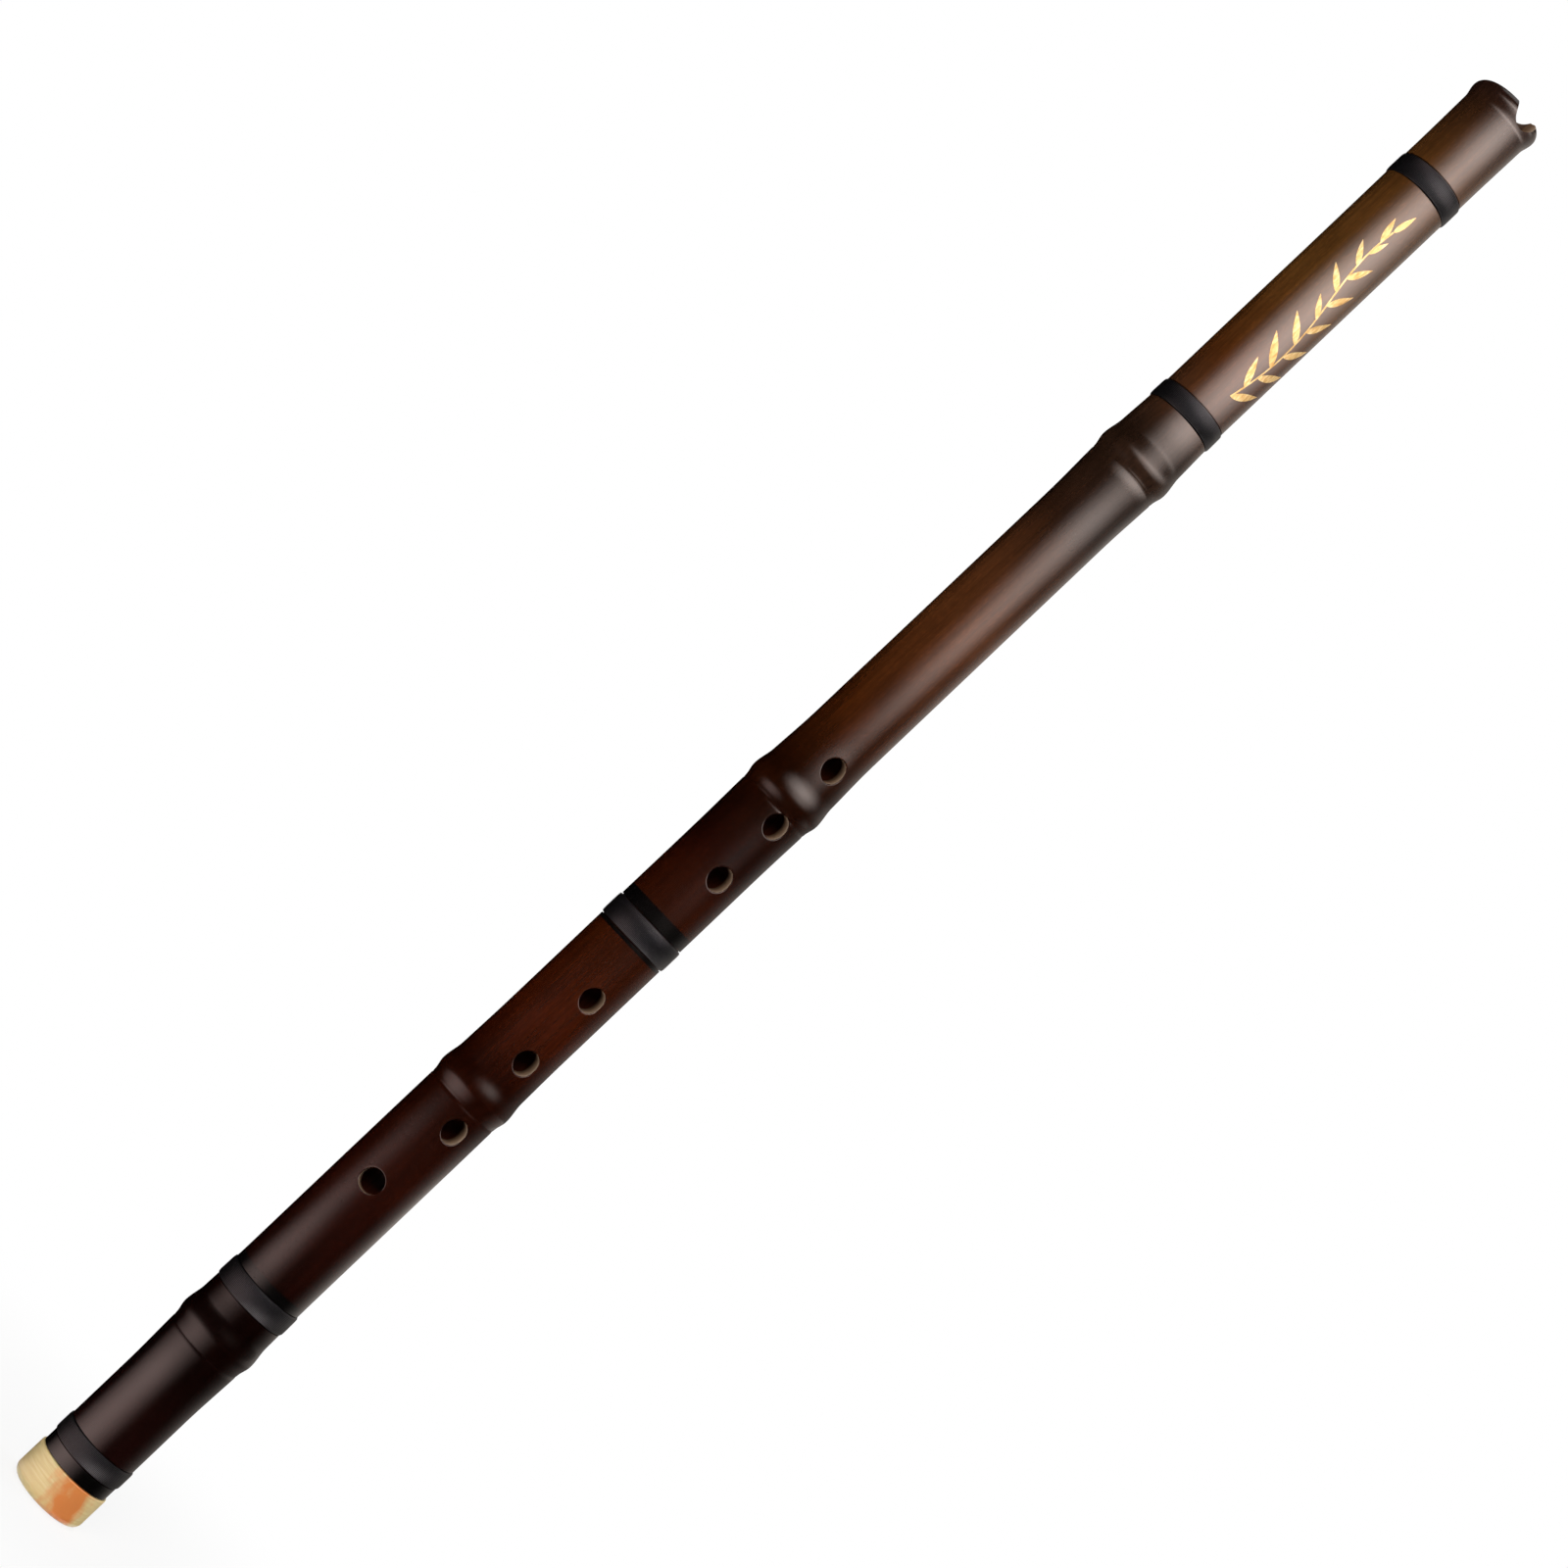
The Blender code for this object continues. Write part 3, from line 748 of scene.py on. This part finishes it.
# Painted shade: the wall darkens towards the bore, as it would deeper in the hole
wall_tone_and_depth_shade = add(
    "ShaderNodeValToRGB",
    {"Fac": outward},
    stops=((0.0, "2e1c10"), (0.3, "604834"), (0.7, "927862"), (0.95, "b49c86")),
)
bundle = grain(add, BUNDLE, detail=2)
lined = {"From Min": 0.35, "From Max": 0.65, "To Min": 0.75, "To Max": 1.15}
bundle_shade = add("ShaderNodeMapRange", {"Value": bundle, **lined})
wall_colour_and_shade = add("ShaderNodeVectorMath", {0: wall_tone_and_depth_shade, "Scale": bundle_shade}, operation="SCALE")
wall_bump = add("ShaderNodeBump", {"Strength": 0.6, "Distance": 0.00008, "Height": bundle})
wall = add(
    "ShaderNodeBsdfPrincipled",
    {"Base Color": wall_colour_and_shade, "Roughness": 0.55, "IOR": 1.5, "Normal": wall_bump},
)
add("ShaderNodeOutputMaterial", {"Surface": wall})

# Bore lacquer: a thin dark coat brushed inside against damp, half glossy.
BRUSH_MARK = (0.0015, 0.030)

bore_lacquer, add = new_material("dark_bore_lacquer")
brushed = grain(add, BRUSH_MARK, detail=3)
bore_tone = add("ShaderNodeValToRGB", {"Fac": brushed}, stops=((0.35, "4a1a0c"), (0.7, "5e2a14")))
bore_bump = add("ShaderNodeBump", {"Strength": 0.4, "Distance": 0.0001, "Height": brushed})
inside = add(
    "ShaderNodeBsdfPrincipled", {"Base Color": bore_tone, "Roughness": 0.4, "IOR": 1.5, "Normal": bore_bump}
)
add("ShaderNodeOutputMaterial", {"Surface": inside})


def apply_modifiers(piece):
    """Turn a piece's modifiers into its plain shape."""
    evaluated = piece.evaluated_get(bpy.context.evaluated_depsgraph_get())
    mesh = bpy.data.meshes.new_from_object(evaluated)
    piece.modifiers.clear()
    piece.data = mesh


def cut(piece, cutter, operation):
    """Cut a piece with another, whose own material lines the cut, and remove the cutter."""
    boolean = piece.modifiers.new("cut", "BOOLEAN")
    boolean.operation = operation
    boolean.solver = "EXACT"
    boolean.material_mode = "TRANSFER"
    boolean.object = cutter
    apply_modifiers(piece)
    bpy.data.objects.remove(cutter)


def drawn_cylinder(name, width, depth, stretch, placed):
    """A cylinder along Z whose +Y half is drawn out, as a channel with a round bottom."""
    shape = bmesh.new()
    bmesh.ops.create_cone(
        shape, cap_ends=True, segments=NOTCH_SIDES, radius1=width / 2, radius2=width / 2, depth=depth
    )
    for vertex in shape.verts:
        if vertex.co.y > GAP / 2:
            vertex.co.y += stretch
    bmesh.ops.transform(shape, matrix=placed, verts=shape.verts)
    mesh = bpy.data.meshes.new(name)
    shape.to_mesh(mesh)
    shape.free()
    return new_piece(name, mesh, raw_bamboo)


def shade(piece):
    """Shade a piece smooth, with its sharp edges kept."""
    piece.data.shade_smooth()
    piece.data.set_sharp_from_angle(angle=SHARP_ANGLE)


culm = new_piece("culm", culm_mesh(), lacquered_bamboo, raw_bamboo, bore_lacquer)
turned_aside = Matrix.Rotation(NOTCH_TURN, 4, "Z")
notch_wall = culm_radius(CREST_HEIGHT - NOTCH_DEPTH)
notch_reach = notch_wall + 2 * BORE_RADIUS
inward = Vector((0, math.cos(NOTCH_SLOPE), -math.sin(NOTCH_SLOPE)))
rise = Vector((0, math.sin(NOTCH_SLOPE), math.cos(NOTCH_SLOPE)))
placed = Matrix((rise.cross(inward), rise, inward)).transposed().to_4x4()
placed.translation = Vector((0, -notch_wall, CREST_HEIGHT - NOTCH_DEPTH)) + rise * NOTCH_WIDTH / 2
channel = drawn_cylinder("notch_channel", NOTCH_WIDTH, 2 * notch_reach, notch_reach, turned_aside @ placed)
end = -notch_wall + NOTCH_REACH - NOTCH_END_WIDTH / 2
placed = Matrix.Translation((0, end, CREST_HEIGHT)) @ Matrix.Rotation(math.pi, 4, "Z")
plan = drawn_cylinder("notch_plan", NOTCH_END_WIDTH, 4 * notch_reach, notch_reach, turned_aside @ placed)
cut(channel, plan, "INTERSECT")
cut(culm, channel, "DIFFERENCE")
shade(culm)
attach(culm, "root")
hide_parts("bamboo_tube")


# Tail ring: a cap of pale horn turned on a lathe and glued over the turned-down tail of the culm. Its foot is
# well rounded, since the flute is stood and set down on it.
RING_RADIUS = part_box("tail_ring")[1].x
RING_WALL = 0.00305
RING_LIP = 0.0025
RING_ROUNDING = 0.0032
RING_EASING = 0.0005
EASING_ARC = 5
ROUNDING_ARC = 12


def arc(centre, radius, start, end, steps):
    """Points of an arc of a profile, with angles from the outward direction."""
    angles = [start + (end - start) * step / steps for step in range(steps + 1)]
    return [(centre[0] + radius * math.cos(a), centre[1] + radius * math.sin(a)) for a in angles]


def turned_mesh(name, profile):
    """A closed profile of (radius, height) points turned about the flute's axis."""
    points = []
    faces = []
    for radius, height in profile:
        for side in range(SIDES):
            points.append(facing(2 * math.pi * side / SIDES) * radius + UP * height)
    for row in range(len(profile)):
        below = (row + 1) % len(profile)
        for side in range(SIDES):
            after = (side + 1) % SIDES
            corners = ((row, side), (row, after), (below, after), (below, side))
            faces.append([r * SIDES + c for r, c in corners])
    mesh = bpy.data.meshes.new(name)
    mesh.from_pydata(points, [], faces)
    face_outwards(mesh)
    return mesh


# Horn, polished: creamy, slightly waxy, with a warm amber patch where the core of the horn was, and faint
# growth lines across it.
AMBER = "e48a45"
AMBER_TURN = 0
AMBER_EDGE = (1.08, 1.24)
CLOUD = (0.006, 0.010)
CLOUD_SHARE = 0.50
GROWTH_LINE = (0.009, 0.0007)

polished_horn, add = new_material("polished_horn")
position = add("ShaderNodeTexCoord").outputs["Object"]
flat = add("ShaderNodeVectorMath", {0: position, 1: (1, 1, 0)}, operation="MULTIPLY")
direction = add("ShaderNodeVectorMath", {0: flat}, operation="NORMALIZE")
towards = add("ShaderNodeVectorMath", {0: direction, 1: facing(AMBER_TURN)}, operation="DOT_PRODUCT")
cloud = grain(add, CLOUD, detail=4)
clouded = add(
    "ShaderNodeMath", {0: cloud, 1: CLOUD_SHARE, 2: towards.outputs["Value"]}, operation="MULTIPLY_ADD"
)
amber = add(
    "ShaderNodeMapRange", {"Value": clouded, "From Min": AMBER_EDGE[0], "From Max": AMBER_EDGE[1]}
)
lines = grain(add, GROWTH_LINE, detail=3)
cream = add("ShaderNodeValToRGB", {"Fac": lines}, stops=((0.3, "dec188"), (0.5, "e4cb90"), (0.72, "ead49e")))
horn_colour = add("ShaderNodeMix", {0: amber, 6: cream, 7: linear(AMBER)}, data_type="RGBA")
horn_bump = add("ShaderNodeBump", {"Strength": 0.1, "Distance": 0.00004, "Height": lines})
horn = add(
    "ShaderNodeBsdfPrincipled",
    {
        "Base Color": horn_colour.outputs[2],
        "Roughness": 0.32,
        "IOR": 1.54,
        "Subsurface Weight": 0.15,
        "Subsurface Radius": (0.0012, 0.0008, 0.0005),
        "Normal": horn_bump,
    },
)
add("ShaderNodeOutputMaterial", {"Surface": horn})

socket = RING_RADIUS - RING_WALL
profile = [(socket, RING_TOP)]
profile += arc((RING_RADIUS - RING_EASING, RING_TOP - RING_EASING), RING_EASING, math.pi / 2, 0, EASING_ARC)
profile += arc((RING_RADIUS - RING_ROUNDING, RING_ROUNDING), RING_ROUNDING, 0, -math.pi / 2, ROUNDING_ARC)
profile += arc((BORE_RADIUS + RING_EASING, RING_EASING), RING_EASING, -math.pi / 2, -math.pi, EASING_ARC)
profile += [(BORE_RADIUS, RING_LIP), (socket, RING_LIP)]
ring = new_piece("horn_ring", turned_mesh("horn_ring", profile), polished_horn)
shade(ring)
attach(ring, "root")
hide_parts("tail_ring")


# Bindings: five windings of black silk thread, laid tight in a shallow groove and soaked with lacquer, which
# keep the culm from splitting. Each is an under-layer with one long thread wound over it, its ends tucked in.
THREAD = 0.0005
BINDING_PROUD = 0.0005
THREAD_SUNK = 0.00018
THREAD_WANDER = 0.00005
CROWN_DROP = 0.00020
STEPS_PER_TURN = 72
THREAD_SIDES = 8
CROWN_POWER = 8
TUCK_START = 0.985
WANDER_SCALE = 260
STRAND = (0.0009, 0.0003)

# Silk thread soaked in black lacquer: near black, with a soft cold sheen that breaks up over the strands. It
# is drawn 0.5 mm thick, coarser than such silk, so that the turns show.
lacquered_thread, add = new_material("lacquered_silk_thread")
strand = grain(add, STRAND, detail=3)
thread_tone = add("ShaderNodeValToRGB", {"Fac": strand}, stops=((0.3, "050506"), (0.7, "0c0d0f")))
thread_bump = add("ShaderNodeBump", {"Strength": 0.5, "Distance": 0.00004, "Height": strand})
silk = add(
    "ShaderNodeBsdfPrincipled",
    {
        "Base Color": thread_tone,
        "Roughness": 0.38,
        "IOR": 1.66,
        "Specular Tint": linear("dfe2ec"),
        "Normal": thread_bump,
    },
)
add("ShaderNodeOutputMaterial", {"Surface": silk})


def geometry_tree(name, output, **inputs):
    """A Geometry Nodes tree with inputs by kind, and the function that adds a node to it."""
    tree = bpy.data.node_groups.new(name, "GeometryNodeTree")
    for kind, labels in inputs.items():
        for label in labels:
            tree.interface.new_socket(label, in_out="INPUT", socket_type=f"NodeSocket{kind}")
    tree.interface.new_socket(output, in_out="OUTPUT", socket_type="NodeSocketGeometry")
    return tree, partial(add_node, tree)


winding, add = geometry_tree(
    "winding",
    "Binding",
    Geometry=("Under Layer",),
    Float=("Turns", "Start Radius", "End Radius", "Foot", "Length", "Thread", "Crown Drop", "Wander"),
    Int=("Steps per Turn",),
    Material=("Finish",),
)
given = add("NodeGroupInput").outputs

# One long thread: a spiral that drops over the crown towards both ends, where it is tucked under
path = add(
    "GeometryNodeCurveSpiral",
    {
        "Resolution": given["Steps per Turn"],
        "Rotations": given["Turns"],
        "Start Radius": given["Start Radius"],
        "End Radius": given["End Radius"],
        "Height": given["Length"],
    },
)
place = add("GeometryNodeInputPosition")
flat = add("ShaderNodeVectorMath", {0: place, 1: (1, 1, 0)}, operation="MULTIPLY")
outward = add("ShaderNodeVectorMath", {0: flat}, operation="NORMALIZE")
factor = add("GeometryNodeSplineParameter").outputs["Factor"]
centred = add("ShaderNodeMath", {0: factor, 1: 2, 2: -1}, operation="MULTIPLY_ADD")
off_centre = add("ShaderNodeMath", {0: centred}, operation="ABSOLUTE")
curved = add("ShaderNodeMath", {0: off_centre, 1: CROWN_POWER}, operation="POWER")
crown = add("ShaderNodeMath", {0: curved, 1: given["Crown Drop"]}, operation="MULTIPLY")
tucked = add("ShaderNodeMapRange", {"Value": off_centre, "From Min": TUCK_START, "To Max": given["Thread"]})
drop = add("ShaderNodeMath", {0: crown, 1: tucked}, operation="ADD")
lowered = add("ShaderNodeMath", {0: drop, 1: -1}, operation="MULTIPLY")
inwards = add("ShaderNodeVectorMath", {0: outward, "Scale": lowered}, operation="SCALE")
uneven = add("ShaderNodeTexNoise", {"Vector": place, "Scale": WANDER_SCALE, "Detail": 1})
uneven_rise = add(
    "ShaderNodeMath", {0: uneven, 1: given["Wander"], 2: given["Foot"]}, operation="MULTIPLY_ADD"
)
upwards = add("ShaderNodeCombineXYZ", {"Z": uneven_rise})
shift = add("ShaderNodeVectorMath", {0: inwards, 1: upwards}, operation="ADD")
laid = add("GeometryNodeSetPosition", {"Geometry": path, "Offset": shift})
half = add("ShaderNodeMath", {0: given["Thread"], 1: 0.5}, operation="MULTIPLY")
section = add("GeometryNodeCurvePrimitiveCircle", {"Resolution": THREAD_SIDES, "Radius": half})
thread = add("GeometryNodeCurveToMesh", {"Curve": laid, "Profile Curve": section, "Fill Caps": True})
whole = add("GeometryNodeJoinGeometry", {"Geometry": [thread, given["Under Layer"]]})
real = add("GeometryNodeRealizeInstances", {"Geometry": whole})
finished = add("GeometryNodeSetMaterial", {"Geometry": real, "Material": given["Finish"]})
add("NodeGroupOutput", {"Binding": finished})


def grow(piece, tree, values):
    """Shape a piece by a Geometry Nodes tree with these inputs, named as in the tree."""
    modifier = piece.modifiers.new(tree.name, "NODES")
    modifier.node_group = tree
    for item in tree.interface.items_tree:
        if item.in_out == "INPUT" and item.name in values:
            modifier[item.identifier] = values[item.name]
    apply_modifiers(piece)


for name in BINDINGS:
    low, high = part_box(name)
    foot = low.z + THREAD / 2
    length = high.z - low.z - THREAD
    lift = BINDING_PROUD - THREAD / 2
    under = BINDING_PROUD - THREAD + THREAD_SUNK
    heights = (high.z - THREAD / 2, (low.z + high.z) / 2, foot)
    profile = [(culm_radius(height) + under, height) for height in heights]
    profile += [(culm_radius(height) - GROOVE_DEPTH + GAP, height) for height in (low.z, high.z)]
    binding = new_piece(f"wound_{name}", turned_mesh(name, profile), lacquered_thread)
    values = {
        "Turns": round(length / THREAD),
        "Start Radius": culm_radius(foot) + lift,
        "End Radius": culm_radius(foot + length) + lift,
        "Foot": foot,
        "Length": length,
        "Thread": THREAD,
        "Crown Drop": CROWN_DROP,
        "Wander": THREAD_WANDER,
        "Steps per Turn": STEPS_PER_TURN,
        "Finish": lacquered_thread,
    }
    grow(binding, winding, values)
    shade(binding)
    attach(binding, "root")
    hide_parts(name)


# Gilt sprig: a spray of slender leaves brushed on in gold paint between the two upper bindings, over the line
# of the finger holes. The paint stands a hair proud of the lacquer and follows the skin.
SPRIG_FOOT = 0.5705
SPRIG_LENGTH = 0.0830
SPRIG_TURN = math.radians(2)
SPRIG_BOW = 0.0032
STEM_WIDTH = 0.0006
LEAF_COUNT = 15
LEAF_LENGTH = 0.0120
LEAF_WIDTH = 0.0026
LEAF_ANGLE = math.radians(37)
LEAF_SEED = 11
LEAF_VARIATION = 0.16
LEAF_SKEW = 0.75
LEAF_BLUNTNESS = 0.05
LEAF_SHRINKING = 0.3
LEAF_START = 1.05
LEAF_CLOSING = 6
STEM_WAVE = 5.4
STEM_POINTS = 60
STEM_DEPTH_SHARE = 0.8
PAINT_DEPTH = 0.00010
PAINT_SUNK = 0.00004
PAINT_STROKE = (0.0009, 0.0030)

# Gold paint: a half metallic film with a dull shine, paler and browner stroke by stroke. The strokes are
# drawn coarser than a fine brush's, so that they show.
gold_paint, add = new_material("gold_paint")
brushing = grain(add, PAINT_STROKE, detail=3)
gold_tone = add(
    "ShaderNodeValToRGB", {"Fac": brushing}, stops=((0.3, "b98a45"), (0.5, "dcb877"), (0.7, "f0d8a4"))
)
gold_bump = add("ShaderNodeBump", {"Strength": 0.4, "Distance": 0.00003, "Height": brushing})
gold = add(
    "ShaderNodeBsdfPrincipled",
    {"Base Color": gold_tone, "Metallic": 0.35, "Roughness": 0.45, "Normal": gold_bump},
)
add("ShaderNodeOutputMaterial", {"Surface": gold})

spray, add = geometry_tree(
    "leaf_spray",
    "Spray",
    Float=("Length", "Bow", "Stem Width", "Depth", "Leaf Length", "Leaf Width", "Leaf Angle"),
    Int=("Leaf Count", "Seed"),
    Material=("Finish",),
)
given = add("NodeGroupInput").outputs
factor = add("GeometryNodeSplineParameter").outputs["Factor"]

# The stem: a wavy line, drawn flat along Y
tip = add("ShaderNodeCombineXYZ", {"Y": given["Length"]})
line = add("GeometryNodeCurvePrimitiveLine", {"End": tip})
fine_line = add("GeometryNodeResampleCurve", {"Curve": line, "Count": STEM_POINTS})
phase = add("ShaderNodeMath", {0: factor, 1: STEM_WAVE}, operation="MULTIPLY")
sway = add("ShaderNodeMath", {0: phase}, operation="SINE")
swayed = add("ShaderNodeMath", {0: sway, 1: given["Bow"]}, operation="MULTIPLY")
bow = add("ShaderNodeCombineXYZ", {"X": swayed})
stem_line = add("GeometryNodeSetPosition", {"Geometry": fine_line, "Offset": bow})
stem_depth = add("ShaderNodeMath", {0: given["Depth"], 1: STEM_DEPTH_SHARE}, operation="MULTIPLY")
stem_section = add(
    "GeometryNodeCurvePrimitiveQuadrilateral", {"Width": given["Stem Width"], "Height": stem_depth}
)
stem = add("GeometryNodeCurveToMesh", {"Curve": stem_line, "Profile Curve": stem_section, "Fill Caps": True})

# One leaf: a thin block, pointed at both ends
block = add("GeometryNodeMeshCube", {"Size": (1, 1, 1), "Vertices X": 3, "Vertices Y": 15, "Vertices Z": 2})
corner = add("ShaderNodeSeparateXYZ", {0: add("GeometryNodeInputPosition")}).outputs
along = add("ShaderNodeMath", {0: corner["Y"], 1: 0.5}, operation="ADD")
eased = add("ShaderNodeMath", {0: along, 1: LEAF_SKEW}, operation="POWER")
turned = add("ShaderNodeMath", {0: eased, 1: math.pi}, operation="MULTIPLY")
swell = add("ShaderNodeMath", {0: turned}, operation="SINE")
fullness = add("ShaderNodeMath", {0: swell, 1: LEAF_BLUNTNESS}, operation="ADD")
spread = add("ShaderNodeMath", {0: fullness, 1: given["Leaf Width"]}, operation="MULTIPLY")
leaf_place = add(
    "ShaderNodeCombineXYZ",
    {
        "X": add("ShaderNodeMath", {0: corner["X"], 1: spread}, operation="MULTIPLY"),
        "Y": add("ShaderNodeMath", {0: along, 1: given["Leaf Length"]}, operation="MULTIPLY"),
        "Z": add("ShaderNodeMath", {0: corner["Z"], 1: given["Depth"]}, operation="MULTIPLY"),
    },
)
leaf = add("GeometryNodeSetPosition", {"Geometry": block, "Position": leaf_place})

# The leaves: left and right by turns along the stem, closing and shrinking towards its tip
joints = add("GeometryNodeResampleCurve", {"Curve": stem_line, "Count": given["Leaf Count"]})
tangent = add("ShaderNodeSeparateXYZ", {0: add("GeometryNodeInputTangent")}).outputs
heading = add("ShaderNodeMath", {0: tangent["Y"], 1: tangent["X"]}, operation="ARCTAN2")
upright_heading = add("ShaderNodeMath", {0: heading, 1: math.pi / 2}, operation="SUBTRACT")
parity = add("ShaderNodeMath", {0: add("GeometryNodeInputIndex"), 1: 2}, operation="MODULO")
side = add("ShaderNodeMath", {0: parity, 1: 2, 2: -1}, operation="MULTIPLY_ADD")
late = add("ShaderNodeMath", {0: factor, 1: LEAF_CLOSING}, operation="POWER")
open_share = add("ShaderNodeMath", {0: 1, 1: late}, operation="SUBTRACT")
opening = add("ShaderNodeMath", {0: given["Leaf Angle"], 1: open_share}, operation="MULTIPLY")
chance = {2: -LEAF_VARIATION, 3: LEAF_VARIATION, "Seed": given["Seed"]}
drawn = add("FunctionNodeRandomValue", chance, data_type="FLOAT")
leaning = add("ShaderNodeMath", {0: opening, 1: drawn.outputs[1]}, operation="ADD")
leaf_turn = add("ShaderNodeMath", {0: leaning, 1: side, 2: upright_heading}, operation="MULTIPLY_ADD")
shrink = add("ShaderNodeMath", {0: factor, 1: -LEAF_SHRINKING, 2: LEAF_START}, operation="MULTIPLY_ADD")
varied = add("ShaderNodeMath", {0: drawn.outputs[1], 1: shrink}, operation="ADD")
leaves = add(
    "GeometryNodeInstanceOnPoints",
    {
        "Points": joints,
        "Instance": leaf,
        "Rotation": add("ShaderNodeCombineXYZ", {"Z": leaf_turn}),
        "Scale": add("ShaderNodeCombineXYZ", {"X": varied, "Y": varied, "Z": 1}),
    },
)
joined = add("GeometryNodeJoinGeometry", {"Geometry": [stem, leaves]})
real = add("GeometryNodeRealizeInstances", {"Geometry": joined})
finished = add("GeometryNodeSetMaterial", {"Geometry": real, "Material": given["Finish"]})
add("NodeGroupOutput", {"Spray": finished})

sprig = new_piece("gilt_sprig", bpy.data.meshes.new("gilt_sprig"), gold_paint)
values = {
    "Length": SPRIG_LENGTH,
    "Bow": SPRIG_BOW,
    "Stem Width": STEM_WIDTH,
    "Depth": PAINT_DEPTH,
    "Leaf Count": LEAF_COUNT,
    "Leaf Length": LEAF_LENGTH,
    "Leaf Width": LEAF_WIDTH,
    "Leaf Angle": LEAF_ANGLE,
    "Seed": LEAF_SEED,
    "Finish": gold_paint,
}
grow(sprig, spray, values)
for vertex in sprig.data.vertices:
    across, along, above = vertex.co
    height = SPRIG_FOOT + along
    turn = SPRIG_TURN + across / culm_radius(height)
    vertex.co = skin_point(turn, height, PAINT_SUNK - PAINT_DEPTH / 2 - above)
face_outwards(sprig.data)
shade(sprig)
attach(sprig, "root")
